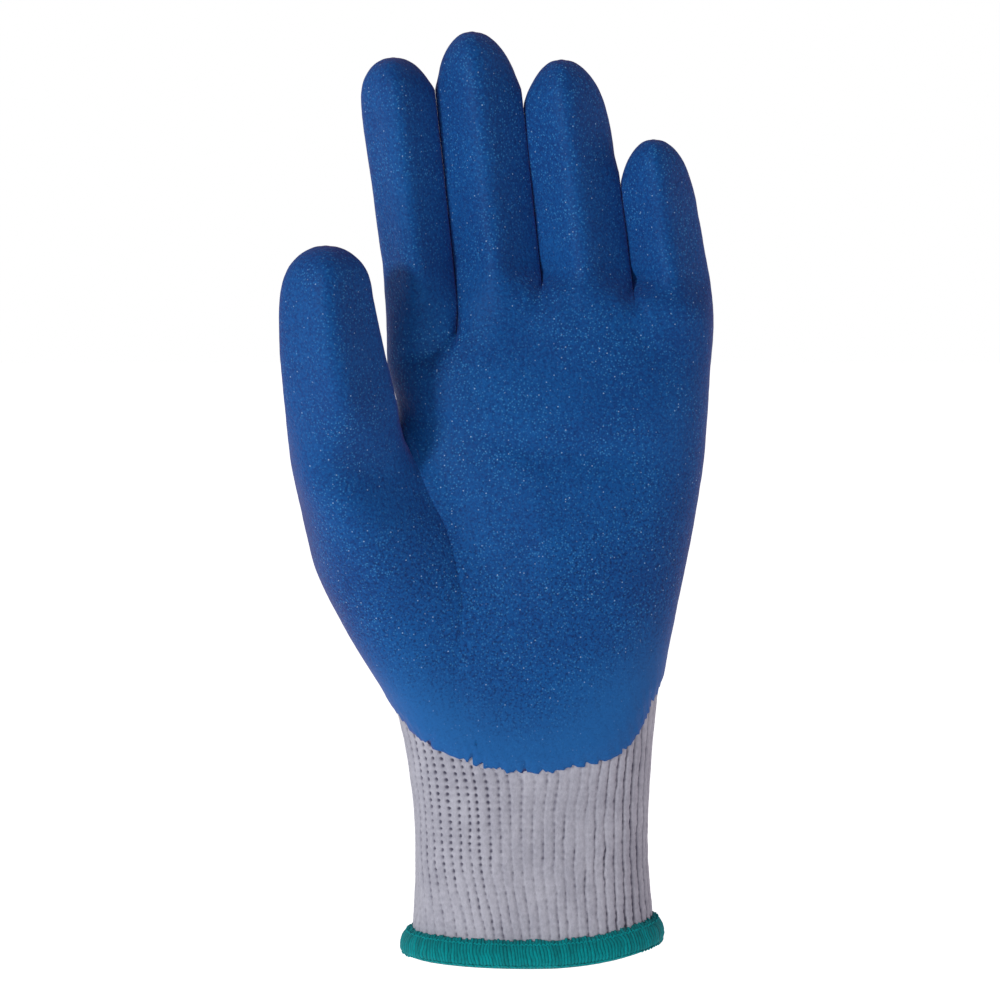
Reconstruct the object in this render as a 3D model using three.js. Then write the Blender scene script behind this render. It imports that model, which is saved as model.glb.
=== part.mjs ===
import * as THREE from 'three';

// A seamless string-knit work glove for a left hand, dipped in latex over the palm and fingers.
// The palm faces -Y, the thumb lies towards -X and the fingers point up, along +Z.
// The origin is the middle of the cuff's mouth, where a wrist goes in. Lengths are millimetres.
// Widths and depths are those of the knitted liner's outside; the latex lies over it.

// Lengths up the hand
const cuffLength = 49; // mouth to the lowest point of the latex
const heelLength = 82; // from there to the thumb's crotch
const palmLength = 47; // from there to the highest of the finger webs
const thumbLength = 60; // from the thumb's crotch
const indexLength = 64; // this and the next three from the highest web
const middleLength = 71;
const ringLength = 63.5;
const littleLength = 42;

// Widths and depths
const cuffWidth = 64;
const cuffDepth = 39;
const palmWidth = 86.6;
const palmDepth = 36;
const thumbWidth = 26;
const thumbDepth = 24;
const indexWidth = 16.8;
const indexTipWidth = 18;
const middleWidth = 20.8;
const middleTipWidth = 20.8;
const ringWidth = 22;
const ringTipWidth = 20.6;
const littleWidth = 19.4;
const littleTipWidth = 16.6;
const fingerDepth = 20.5;

// Postures of the resting fingers
const fingerLean = 6; // degrees that the fingers tilt towards the thumb
const fingerCurl = 6.5; // how far a fingertip comes forward
const webRise = 5; // how far a web climbs between its front edge and its crest

// Walls and clearances
const knitWall = 1.3;
const latexWall = 0.8;
const latexClearance = 0.3; // between the knit and the latex
const fingerGap = 0.5; // between the latex of two neighbouring fingers

// Hem of overlock thread round the cuff's mouth
const hemHeight = 8;
const hemWall = 2.2;
const hemClearance = 0.3;

// Counts of the mesh
const fingerColumns = 5; // columns on a finger's front, and as many on its back
const fingerCount = 4;
const rowsBetween = 2; // rows of faces between two of the sections below
const backLatex = 1; // columns that the latex reaches past each side, onto the back
const offsetRounds = 60; // rounds that settle the direction of a wall at a point
const palmColumns = fingerColumns * fingerCount;
const handSize = 2 * (palmColumns + fingerColumns) + 2;
const webWidth = 2 * (latexClearance + latexWall) + fingerGap;
const latexOutside = latexClearance + latexWall;
const fingerRoundness = 2.2; // exponents of the superellipses: 2 is an ellipse, more is boxier
const palmRoundness = 2.5;
const outlineLimit = 0.98; // how near a section's very side the thumb's part may end, as a share
const longestStep = 1.6; // most that a point moves where a sharp fold asks for more than 1

// Sections of the cuff: up as a share of the cuff's length, and the rest of its width and depth.
// A lift raises that side of a section, as the hem and the latex's edge climb towards the sides.
const cuffSections = [
  { up: -0.015, left: -0.505, right: 0.505, front: 0.52, back: 0.52, leftLift: 0.02, rightLift: 0.09 },
  { up: 0.40, left: -0.497, right: 0.502, front: 0.50, back: 0.50, leftLift: 0.06, rightLift: 0.10 },
  { up: 0.75, left: -0.510, right: 0.510, front: 0.49, back: 0.49, leftLift: 0.10, rightLift: 0.15 },
  { up: 1.00, left: -0.585, right: 0.550, front: 0.49, back: 0.48, leftLift: 0.35, rightLift: 0.49 },
];
const latexEdgeSection = cuffSections.length - 1;

// Sections of the hand's heel: up as a share of its length, lifts as shares of the cuff's length,
// and the rest of the palm's width and depth. Thenar is the swell of the thumb's ball,
// and advance is how far the thumb's side of the hand comes forward.
// Crease and backCrease are where the thumb's part of the section ends, in front and behind.
const heelSections = [
  { up: 0.25, left: -0.546, right: 0.433, front: 0.54, back: 0.48, leftLift: 0.28, rightLift: 0.34,
    thenar: 0.03, advance: 0.00, crease: -0.25, backCrease: -0.27 },
  { up: 0.55, left: -0.663, right: 0.475, front: 0.56, back: 0.47, leftLift: 0.18, rightLift: 0.20,
    thenar: 0.14, advance: 0.04, crease: -0.23, backCrease: -0.36 },
  { up: 0.80, left: -0.712, right: 0.508, front: 0.55, back: 0.46, leftLift: 0.12, rightLift: 0.10,
    thenar: 0.22, advance: 0.13, crease: -0.28, backCrease: -0.42 },
  { up: 1.00, left: -0.739, right: 0.530, front: 0.52, back: 0.45, leftLift: 0.06, rightLift: 0.00,
    thenar: 0.24, advance: 0.26, crease: -0.36, backCrease: -0.47 },
];
const cuffCrease = -0.20; // the same border at the cuff, as a share of the palm's width

// Crest of the web between thumb and palm, and the rise of the crotch's back edge
const thumbCrest = { across: -0.42, forward: 0.17, rise: 0.23, backRise: 0.10 };

// Sections of the palm above the thumb: up as a share of the palm's length
const palmSections = [
  { up: 0.27, left: -0.415, right: 0.543, front: 0.49, back: 0.44, leftLift: 0.16, rightLift: 0 },
  { up: 0.56, left: -0.440, right: 0.552, front: 0.45, back: 0.43, leftLift: 0.05, rightLift: 0 },
];

// Sections of the thumb: up as a share of its length, across of the palm's width,
// forward of the palm's depth, width and depth of the thumb's own
const thumbSections = [
  { up: 0.30, across: -0.590, forward: 0.40, width: 1.08, depth: 1.08 },
  { up: 0.55, across: -0.616, forward: 0.53, width: 0.99, depth: 1.00 },
  { up: 0.78, across: -0.631, forward: 0.60, width: 0.88, depth: 0.92 },
];
const thumbTip = { across: -0.630, forward: 0.63 };

// The four fingers: depth is a share of the fingers' depth, and tip is the rounded end's length as
// a share of the tip's width. A drop is how far that side of the base lies below the highest web,
// as a share of the palm's length. Forward is where the finger's middle stands in front of the
// palm's, in millimetres, and splay is how far it leans away from its neighbour, in degrees.
const fingers = [
  { length: indexLength, width: indexWidth, tipWidth: indexTipWidth, depth: 0.98, tip: 0.62,
    leftDrop: 0.22, rightDrop: 0.24, forward: 1.2, splay: 0 },
  { length: middleLength, width: middleWidth, tipWidth: middleTipWidth, depth: 1.03, tip: 0.92,
    leftDrop: 0.24, rightDrop: 0.00, forward: 0.5, splay: 0 },
  { length: ringLength, width: ringWidth, tipWidth: ringTipWidth, depth: 1.02, tip: 0.90,
    leftDrop: 0.00, rightDrop: 0.05, forward: 0.0, splay: 0 },
  { length: littleLength, width: littleWidth, tipWidth: littleTipWidth, depth: 0.90, tip: 0.85,
    leftDrop: 0.05, rightDrop: 0.12, forward: -0.8, splay: 1.6 },
];
// The row of knuckles: its middle as a share of the palm's width, its front and back as shares of
// the palm's depth, and the dimple over a web as a share of those
const knuckles = { middle: 0.060, front: 0.38, back: 0.40, dimple: 0.2 };
const knuckleRoundness = 3.5;
const fingerSections = [ // up as a share of the finger's length, depth as a share of its own
  { up: 0.20, depth: 1.10 },
  { up: 0.48, depth: 1.00 },
];
const tipAngles = [0, 28, 52, 72]; // where a rounded end has sections, in degrees of its arc
const taperEnd = 0.8; // share of a finger's length over which it takes the tip's width

// The hem's section, a band folded round the mouth. Its walls are shares of the hem's wall and
// its levels are shares of the hem's height.
const hemSection = {
  crown: 1.2, // the outer roll where it is thickest
  crownUp: 0.45,
  foot: 0.5, // how far the lining turns under the mouth's edge
  lining: 0.45, // wall of the part inside the cuff
  liningTop: 0.8,
  liningBevel: 0.7,
};

const heelBottom = cuffLength;
const thumbCrotch = heelBottom + heelLength;
const webLevel = thumbCrotch + palmLength;

const point = (x, y, z) => new THREE.Vector3(x, y, z);
const radians = THREE.MathUtils.degToRad;
const raise = (base, power) => Math.sign(base) * Math.abs(base) ** power;

// A point on a superellipse: angle 0 is its right end, 90 its front and 180 its left end.
// Its sides may be lifted above its middle.
function sectionPoint(section, angle, roundness) {
  const cosine = raise(Math.cos(angle), 2 / roundness);
  const sine = raise(Math.sin(angle), 2 / roundness);
  const x = (section.left + section.right) / 2 + ((section.right - section.left) / 2) * cosine;
  const y = section.middle - sine * (sine > 0 ? section.front : section.back);
  const lift = (cosine < 0 ? section.leftLift : section.rightLift) * cosine ** 2;
  return point(x, y, section.height + lift);
}

// The angle at which a section's outline reaches a given x, in front
function angleAt(section, x, roundness) {
  const half = (section.right - section.left) / 2;
  const share = THREE.MathUtils.clamp(
    (x - section.left) / half - 1,
    -outlineLimit,
    outlineLimit,
  );
  return Math.acos(raise(share, roundness / 2));
}

// A ring of the cuff or heel: left side, thumb front, palm front, right side, palm back, thumb back
function handRing(section) {
  const border = (x, side) => angleAt(section, x + (side * webWidth) / 2, palmRoundness);
  const angles = [Math.PI];
  const thumbEnd = border(section.crease, -1);
  const palmStart = border(section.crease, 1);
  const backThumbEnd = border(section.backCrease, -1);
  const backPalmStart = border(section.backCrease, 1);
  const lerp = THREE.MathUtils.lerp;
  for (let i = 1; i <= fingerColumns; i += 1) {
    angles.push(lerp(Math.PI, thumbEnd, i / fingerColumns));
  }
  for (let i = 0; i < palmColumns; i += 1) {
    angles.push(lerp(palmStart, 0, i / palmColumns));
  }
  angles.push(0);
  for (let i = palmColumns - 1; i >= 0; i -= 1) {
    angles.push(-lerp(backPalmStart, 0, i / palmColumns));
  }
  for (let i = fingerColumns; i >= 1; i -= 1) {
    angles.push(-lerp(Math.PI, backThumbEnd, i / fingerColumns));
  }
  return angles.map((angle, i) => {
    const p = sectionPoint(section, angle, palmRoundness);
    const column = Math.min(i, handSize - i);
    if (column < fingerColumns) {
      p.y -= section.advance * Math.cos((Math.PI / 2) * (column / fingerColumns)) ** 2;
    }
    if (i < fingerColumns) {
      p.y -= section.thenar * Math.sin((Math.PI * i) / fingerColumns) ** 2;
    }
    return p;
  });
}

const cuffRings = cuffSections.map((s) => handRing({
  height: s.up * cuffLength,
  left: s.left * cuffWidth,
  right: s.right * cuffWidth,
  middle: 0,
  front: s.front * cuffDepth,
  back: s.back * cuffDepth,
  leftLift: s.leftLift * cuffLength,
  rightLift: s.rightLift * cuffLength,
  thenar: 0,
  advance: 0,
  crease: cuffCrease * palmWidth,
  backCrease: cuffCrease * palmWidth,
}));

const heelRings = heelSections.map((s) => handRing({
  height: heelBottom + s.up * heelLength,
  left: s.left * palmWidth,
  right: s.right * palmWidth,
  middle: 0,
  front: s.front * palmDepth,
  back: s.back * palmDepth,
  leftLift: s.leftLift * cuffLength,
  rightLift: s.rightLift * cuffLength,
  thenar: s.thenar * palmDepth,
  advance: s.advance * palmDepth,
  crease: s.crease * palmWidth,
  backCrease: s.backCrease * palmWidth,
}));

// Places in a ring of the hand where the thumb's columns end and the palm's begin
const palmFrontStart = fingerColumns + 1;
const palmBackEnd = handSize - fingerColumns;
const toPalm = (ring, side) => [side, ...ring.slice(palmFrontStart, palmBackEnd)];
const toThumb = (ring, side) => [
  ring[0],
  ...ring.slice(1, palmFrontStart),
  side,
  ...ring.slice(palmBackEnd),
];

// The hand's last ring, where it parts into thumb and palm, and the crest of the web between them
const partingRing = heelRings[heelRings.length - 1];
for (let i = palmBackEnd - 1; i <= palmBackEnd; i += 1) {
  partingRing[i].z += thumbCrest.backRise * palmLength;
}
const thumbCrestPoint = (side) => point(
  thumbCrest.across * palmWidth + (side * webWidth) / 2,
  -thumbCrest.forward * palmDepth,
  thumbCrotch + thumbCrest.rise * palmLength,
);

// A ring of the palm above the thumb: left side, front, right side, back
function palmRing(section) {
  const angles = [Math.PI];
  for (let i = 0; i < palmColumns; i += 1) {
    angles.push(Math.PI - ((i + 1) * Math.PI) / (palmColumns + 1));
  }
  angles.push(0);
  for (let i = palmColumns - 1; i >= 0; i -= 1) {
    angles.push(-(Math.PI - ((i + 1) * Math.PI) / (palmColumns + 1)));
  }
  return angles.map((angle) => sectionPoint(section, angle, palmRoundness));
}

const palmRings = palmSections.map((s) => palmRing({
  height: thumbCrotch + s.up * palmLength,
  left: s.left * palmWidth,
  right: s.right * palmWidth,
  middle: 0,
  front: s.front * palmDepth,
  back: s.back * palmDepth,
  leftLift: s.leftLift * palmLength,
  rightLift: s.rightLift * palmLength,
}));

// How wide a finger is at a height, without its rounded end
function fingerWidth(finger, height) {
  const share = THREE.MathUtils.clamp((height - webLevel) / (taperEnd * finger.length), 0, 1);
  return THREE.MathUtils.lerp(finger.width, finger.tipWidth, share);
}

const knuckleRow = fingers.reduce((sum, f) => sum + f.width, 0) + (fingerCount - 1) * webWidth;
const knuckleLeft = knuckles.middle * palmWidth - knuckleRow / 2;

// Where the middle of a finger lies across the hand at a height: the middle finger leans,
// and the others stand beside it, a web's width apart
function fingerMiddle(index, height) {
  const middleFinger = knuckleLeft + fingers[0].width + webWidth + fingers[1].width / 2;
  const rise = Math.max(0, height - webLevel);
  let x = middleFinger - rise * Math.tan(radians(fingerLean));
  if (index < 1) {
    x -= (fingerWidth(fingers[1], height) + fingerWidth(fingers[0], height)) / 2 + webWidth;
    x -= rise * Math.tan(radians(fingers[0].splay));
  }
  for (let i = 2; i <= index; i += 1) {
    x += (fingerWidth(fingers[i - 1], height) + fingerWidth(fingers[i], height)) / 2 + webWidth;
    x += rise * Math.tan(radians(fingers[i].splay));
  }
  return x;
}

// Twelve angles round a finger: left side, front, right side, back
const fingerAngles = [...Array(2 * fingerColumns + 2).keys()]
  .map((i) => Math.PI - (i * Math.PI) / (fingerColumns + 1));

// The ring where a finger leaves the palm
function fingerBase(finger, index) {
  const middle = fingerMiddle(index, webLevel);
  const leftLevel = webLevel - finger.leftDrop * palmLength;
  const rightLevel = webLevel - finger.rightDrop * palmLength;
  return fingerAngles.map((angle, i) => {
    const across = raise(Math.cos(angle), 2 / fingerRoundness);
    const x = middle + (across * finger.width) / 2;
    const level = THREE.MathUtils.lerp(leftLevel, rightLevel, (across + 1) / 2);
    if (i === 0 || i === fingerColumns + 1) {
      const free = i === 0 ? index === 0 : index === fingerCount - 1;
      return point(x, 0, level + (free ? 0 : webRise));
    }
    const reach = Math.abs((x - knuckleLeft) / (knuckleRow / 2) - 1);
    const arc = (1 - reach ** knuckleRoundness) ** (1 / knuckleRoundness);
    const dimple = 1 - knuckles.dimple * across ** 2;
    const depth = Math.sin(angle) > 0 ? -knuckles.front : knuckles.back;
    return point(x, depth * palmDepth * arc * dimple, level);
  });
}

// A ring of a finger, scaled down on its rounded end
function fingerRing(finger, index, height, scale, thickness) {
  const share = (height - webLevel) / finger.length;
  const half = (fingerWidth(finger, height) / 2) * scale;
  const middle = fingerMiddle(index, height);
  const depth = (finger.depth * fingerDepth * thickness * scale) / 2;
  return fingerAngles.map((angle) => sectionPoint({
    height,
    left: middle - half,
    right: middle + half,
    middle: -finger.forward - fingerCurl * share ** 2,
    front: depth,
    back: depth,
    leftLift: 0,
    rightLift: 0,
  }, angle, fingerRoundness));
}

// A finger's rings above its base
function fingerRings(finger, index) {
  const tipLength = finger.tip * finger.tipWidth;
  const top = webLevel + finger.length;
  const rings = fingerSections.map((s) => (
    fingerRing(finger, index, webLevel + s.up * finger.length, 1, s.depth)
  ));
  for (const angle of tipAngles.map(radians)) {
    const height = top - tipLength * (1 - Math.sin(angle));
    rings.push(fingerRing(finger, index, height, Math.cos(angle), 1));
  }
  return rings;
}

// A ring of the thumb
function thumbRing(section, scale) {
  const half = (section.width * thumbWidth * scale) / 2;
  const depth = (section.depth * thumbDepth * scale) / 2;
  return fingerAngles.map((angle) => sectionPoint({
    height: section.height,
    left: section.across * palmWidth - half,
    right: section.across * palmWidth + half,
    middle: -section.forward * palmDepth,
    front: depth,
    back: depth,
    leftLift: 0,
    rightLift: 0,
  }, angle, fingerRoundness));
}

// The thumb's rings above its base
function thumbRings() {
  const rings = thumbSections.map((s) => (
    thumbRing({ ...s, height: thumbCrotch + s.up * thumbLength }, 1)
  ));
  const last = thumbSections[thumbSections.length - 1];
  const start = thumbCrotch + last.up * thumbLength;
  const tipLength = thumbCrotch + thumbLength - start;
  for (const angle of tipAngles.slice(1).map(radians)) {
    const rise = Math.sin(angle);
    rings.push(thumbRing({
      height: start + tipLength * rise,
      across: THREE.MathUtils.lerp(last.across, thumbTip.across, rise),
      forward: THREE.MathUtils.lerp(last.forward, thumbTip.forward, rise),
      width: last.width,
      depth: last.depth,
    }, Math.cos(angle)));
  }
  return rings;
}

// A point between b and c on a smooth curve through a, b, c and d; a or d may be missing
function curvePoint(a, b, c, d, share) {
  const chord = c.clone().sub(b);
  const length = Math.sqrt(chord.length());
  const slope = (p, q, r) => {
    const first = Math.sqrt(p.distanceTo(q));
    const second = Math.sqrt(q.distanceTo(r));
    return q.clone().sub(p).divideScalar(first)
      .sub(r.clone().sub(p).divideScalar(first + second))
      .add(r.clone().sub(q).divideScalar(second))
      .multiplyScalar(length);
  };
  const start = a ? slope(a, b, c) : chord.clone();
  const end = d ? slope(b, c, d) : chord.clone();
  const s = share;
  return b.clone().multiplyScalar(2 * s ** 3 - 3 * s ** 2 + 1)
    .addScaledVector(start, s ** 3 - 2 * s ** 2 + s)
    .addScaledVector(c, 3 * s ** 2 - 2 * s ** 3)
    .addScaledVector(end, s ** 3 - s ** 2);
}

// Rings filled in between the given ones; before and after are the rings beyond both ends
function filled(rings, before, after) {
  const all = [before, ...rings, after];
  const result = [rings[0]];
  for (let i = 1; i < rings.length; i += 1) {
    for (let j = 1; j < rowsBetween; j += 1) {
      result.push(rings[i - 1].map((p, k) => curvePoint(
        all[i - 1] && all[i - 1][k],
        p,
        all[i + 1][k],
        all[i + 2] && all[i + 2][k],
        j / rowsBetween,
      )));
    }
    result.push(rings[i]);
  }
  return result;
}

// The skin is the knit's outer surface: its points, and its faces with a mark on those under latex
const skin = { points: [], faces: [] };

function addPoint(p) {
  skin.points.push(p);
  return skin.points.length - 1;
}

function addFace(corners, latex) {
  skin.faces.push({ corners, latex });
}

// Joins rings of point numbers into rows of faces, closed round
function addRows(rings, latex) {
  for (let row = 0; row + 1 < rings.length; row += 1) {
    const [low, high] = [rings[row], rings[row + 1]];
    for (let i = 0; i < low.length; i += 1) {
      const next = (i + 1) % low.length;
      addFace([low[i], low[next], high[next], high[i]], latex(row, i));
    }
  }
}

// Closes a fingertip: its ring has a left side, a front, a right side and a back
function addTip(ring, height) {
  const [left, right] = [0, fingerColumns + 1];
  const back = (i) => 2 * fingerColumns + 2 - i;
  const crest = [ring[left]];
  for (let i = 2; i < fingerColumns; i += 1) {
    const p = skin.points[ring[i]].clone().add(skin.points[ring[back(i)]]).multiplyScalar(0.5);
    p.z = height;
    crest.push(addPoint(p));
  }
  crest.push(ring[right]);
  for (let i = 1; i < fingerColumns; i += 1) {
    addFace([ring[i], ring[i + 1], crest[i], crest[i - 1]], true);
    addFace([crest[i - 1], crest[i], ring[back(i + 1)], ring[back(i)]], true);
  }
}

const numbered = (rings) => rings.map((ring) => ring.map(addPoint));

// Hand from the mouth to the parting of thumb and palm
const handRings = [...cuffRings, ...heelRings];
const topBases = fingers.map(fingerBase);
const crestLeft = thumbCrestPoint(-1);
const crestRight = thumbCrestPoint(1);
const lastHandRing = handRings[handRings.length - 2];
const thumbTubeRings = thumbRings();
const beyondParting = [
  thumbTubeRings[0][0],
  ...thumbTubeRings[0].slice(1, palmFrontStart),
  ...palmRings[0].slice(1),
  ...thumbTubeRings[0].slice(fingerColumns + 2),
];
const hand = numbered(filled(handRings, null, beyondParting));
const edgeRow = latexEdgeSection * rowsBetween;

// A ring's front columns start at its left side; the latex covers them and a few of the back
const underLatex = (i, frontEnd, size) => i < frontEnd + backLatex || i >= size - backLatex;
const handFrontEnd = palmFrontStart + palmColumns;
addRows(hand, (row, i) => row >= edgeRow && underLatex(i, handFrontEnd, handSize));

// Palm from there to the webs of the fingers
const parting = hand[hand.length - 1];
const crestLeftNumber = addPoint(crestLeft);
const crestRightNumber = addPoint(crestRight);
const palmSize = 2 * palmColumns + 2;
const frontOf = (rings, i) => rings[Math.floor(i / fingerColumns)][1 + (i % fingerColumns)];
const backOf = (rings, i) => (
  rings[Math.floor(i / fingerColumns)][2 * fingerColumns + 1 - (i % fingerColumns)]
);
const palmColumnsInOrder = [...Array(palmColumns).keys()];
const overPalm = (rings) => [
  rings[0][0],
  ...palmColumnsInOrder.map((i) => frontOf(rings, i)),
  rings[fingerCount - 1][fingerColumns + 1],
  ...palmColumnsInOrder.slice().reverse().map((i) => backOf(rings, i)),
];
const fingerTubes = fingers.map(fingerRings);
const palmTop = overPalm(topBases);
const palmRows = filled(
  [toPalm(partingRing, crestRight), ...palmRings, palmTop],
  toPalm(lastHandRing, null),
  overPalm(fingerTubes.map((rings) => rings[0])),
);
const palm = [toPalm(parting, crestRightNumber), ...numbered(palmRows.slice(1))];
addRows(palm, (row, i) => underLatex(i, palmColumns + 1, palmSize));

// A finger or thumb on its base, which holds point numbers. Latex goes all round its rounded end.
function addFinger(base, rings, beforeBase, tipHeight) {
  const straight = rings.length - tipAngles.length + 1;
  const basePoints = base.map((number) => skin.points[number]);
  const rows = filled([basePoints, ...rings.slice(0, straight)], beforeBase, rings[straight]);
  const numbers = [base, ...numbered([...rows.slice(1), ...rings.slice(straight)])];
  const tipRow = numbers.length - tipAngles.length;
  const size = fingerAngles.length;
  addRows(numbers, (row, i) => row >= tipRow || underLatex(i, fingerColumns + 1, size));
  addTip(numbers[numbers.length - 1], tipHeight);
}

const thumbBase = toThumb(parting, crestLeftNumber);
addFinger(
  thumbBase,
  thumbTubeRings,
  toThumb(lastHandRing, null),
  thumbCrotch + thumbLength,
);

// Fingers, each with its own two sides where it stands beside another
const palmEnd = palm[palm.length - 1];
const beforeTop = palmRings[palmRings.length - 1];
const crests = [];
for (let i = 0; i + 1 < fingerCount; i += 1) {
  const leftFinger = addPoint(topBases[i][fingerColumns + 1]);
  const rightFinger = addPoint(topBases[i + 1][0]);
  crests.push([leftFinger, rightFinger]);
}
fingers.forEach((finger, index) => {
  const first = 1 + index * fingerColumns;
  const last = palmSize - index * fingerColumns;
  const onLeft = index === 0;
  const onRight = index === fingerCount - 1;
  const left = onLeft ? palmEnd[0] : crests[index - 1][1];
  const right = onRight ? palmEnd[palmColumns + 1] : crests[index][0];
  const take = (ring, leftEnd, rightEnd) => [
    leftEnd,
    ...ring.slice(first, first + fingerColumns),
    rightEnd,
    ...ring.slice(last - fingerColumns, last),
  ];
  addFinger(
    take(palmEnd, left, right),
    fingerTubes[index],
    take(beforeTop, onLeft ? beforeTop[0] : null, onRight ? beforeTop[palmColumns + 1] : null),
    webLevel + finger.length,
  );
});

// Webs: each climbs from its front edge over a crest to its back edge
function addWeb(frontLeft, frontRight, crestL, crestR, backLeft, backRight) {
  addFace([frontLeft, frontRight, crestR, crestL], true);
  addFace([crestL, crestR, backRight, backLeft], true);
}
addWeb(
  parting[fingerColumns],
  parting[palmFrontStart],
  crestLeftNumber,
  crestRightNumber,
  parting[palmBackEnd],
  parting[palmBackEnd - 1],
);
crests.forEach(([left, right], i) => {
  const front = (i + 1) * fingerColumns;
  const back = palmSize - front;
  addWeb(palmEnd[front], palmEnd[front + 1], left, right, palmEnd[back], palmEnd[back - 1]);
});

// Every face as two triangles, cut along the same diagonal wherever the face is used
const trianglesOf = ({ corners: [a, b, c, d] }) => [[a, b, c], [a, c, d]];

// For each point the step that moves all the faces round it outwards by one millimetre
function outwardSteps({ points, faces }) {
  const normals = points.map(() => []);
  for (const [a, b, c] of faces.flatMap(trianglesOf)) {
    const triangle = new THREE.Triangle(points[a], points[b], points[c]);
    const normal = triangle.getNormal(point(0, 0, 0));
    const corners = [a, b, c];
    corners.forEach((corner, i) => {
      const first = points[corners[(i + 1) % 3]].clone().sub(points[corner]);
      const second = points[corners[(i + 2) % 3]].clone().sub(points[corner]);
      normals[corner].push({ normal, weight: first.angleTo(second) });
    });
  }
  return normals.map((list) => {
    const mean = point(0, 0, 0);
    list.forEach(({ normal, weight }) => mean.addScaledVector(normal, weight));
    mean.normalize();
    const step = mean.clone();
    const total = list.reduce((sum, { weight }) => sum + weight, 0);
    for (let round = 0; round < offsetRounds; round += 1) {
      const pull = point(0, 0, 0);
      list.forEach(({ normal, weight }) => {
        pull.addScaledVector(normal, ((1 - normal.dot(step)) * weight) / total);
      });
      step.add(pull);
    }
    return step.clampLength(1, longestStep);
  });
}

const steps = outwardSteps(skin);
const movedBy = (number, distance) => (
  skin.points[number].clone().addScaledVector(steps[number], distance)
);

function bufferGeometry(positions, triangles) {
  const geometry = new THREE.BufferGeometry();
  const numbers = positions.flatMap((p) => p.toArray());
  geometry.setAttribute('position', new THREE.Float32BufferAttribute(numbers, 3));
  geometry.setIndex(triangles.flat());
  geometry.computeVertexNormals();
  return geometry;
}

// A wall over some of the skin's faces, from one distance outside the skin to another,
// closed along its free edges
function wall(faces, inner, outer) {
  const used = [...new Set(faces.flatMap((face) => face.corners))];
  const place = new Map(used.map((number, i) => [number, i]));
  const positions = [
    ...used.map((number) => movedBy(number, outer)),
    ...used.map((number) => movedBy(number, inner)),
  ];
  const triangles = [];
  const edges = new Map();
  for (const face of faces) {
    for (const [a, b, c] of trianglesOf(face)) {
      const [p, q, r] = [a, b, c].map((number) => place.get(number));
      triangles.push([p, q, r], [r + used.length, q + used.length, p + used.length]);
    }
    face.corners.forEach((from, i) => {
      const to = face.corners[(i + 1) % face.corners.length];
      const back = `${to} ${from}`;
      if (edges.has(back)) {
        edges.delete(back);
      } else {
        edges.set(`${from} ${to}`, [from, to]);
      }
    });
  }
  for (const [from, to] of edges.values()) {
    const [p, q] = [place.get(from), place.get(to)];
    triangles.push([p, p + used.length, q + used.length], [p, q + used.length, q]);
  }
  return bufferGeometry(positions, triangles);
}

// The hem: a folded band round the mouth, outside, under and inside the knit's edge
function hemGeometry() {
  const ring = hand[0];
  const outside = hemClearance;
  const inside = -knitWall - hemClearance;
  const lining = inside - hemSection.lining * hemWall;
  const profile = [
    { out: outside, up: hemHeight },
    { out: outside, up: -hemClearance },
    { out: inside, up: -hemClearance },
    { out: inside, up: hemSection.liningTop * hemHeight },
    { out: lining, up: hemSection.liningBevel * hemHeight },
    { out: lining, up: -hemClearance - hemSection.foot * hemWall },
    { out: -knitWall / 2, up: -hemClearance - hemWall },
    { out: outside + hemWall, up: -hemClearance },
    { out: outside + hemSection.crown * hemWall, up: hemSection.crownUp * hemHeight },
  ];
  const positions = [];
  ring.forEach((number, i) => {
    const p = skin.points[number];
    const next = skin.points[ring[(i + 1) % ring.length]];
    const previous = skin.points[ring[(i + ring.length - 1) % ring.length]];
    const above = skin.points[hand[1][i]];
    const up = above.clone().sub(p).normalize();
    const out = next.clone().sub(previous).cross(up).normalize();
    profile.forEach((q) => {
      positions.push(p.clone().addScaledVector(out, q.out).addScaledVector(up, q.up));
    });
  });
  const triangles = [];
  const count = profile.length;
  for (let i = 0; i < ring.length; i += 1) {
    for (let j = 0; j < count; j += 1) {
      const a = i * count + j;
      const b = i * count + ((j + 1) % count);
      const shift = (((i + 1) % ring.length) - i) * count;
      triangles.push([a, b + shift, b], [a, a + shift, b + shift]);
    }
  }
  return bufferGeometry(positions, triangles);
}

const glove = new THREE.Group();

function addPiece(name, geometry, color, roughness) {
  const material = new THREE.MeshStandardMaterial({ color, roughness, metalness: 0 });
  const mesh = new THREE.Mesh(geometry, material);
  mesh.name = name;
  glove.add(mesh);
}

const latexFaces = skin.faces.filter((face) => face.latex);
addPiece('knit_liner', wall(skin.faces, -knitWall, 0), 0x9a99a8, 0.9);
addPiece('latex_coat', wall(latexFaces, latexClearance, latexOutside), 0x1d4f95, 0.5);
addPiece('cuff_hem', hemGeometry(), 0x0c706e, 0.8);

export default glove;
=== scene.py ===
"""A left-hand work glove: a seamless grey knitted liner dipped in blue crinkled latex.

The palm faces -Y, the thumb lies towards -X, the fingers point up along +Z, and the origin is the
middle of the cuff's mouth. All lengths are metres.
"""

import logging
import math
from dataclasses import dataclass, field, replace
from enum import Enum
from typing import Callable, Sequence

import bpy
import numpy as np
from bpy.types import Material, Node, NodeTree, Object
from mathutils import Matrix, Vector, noise
from mathutils.bvhtree import BVHTree
from mathutils.kdtree import KDTree


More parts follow.
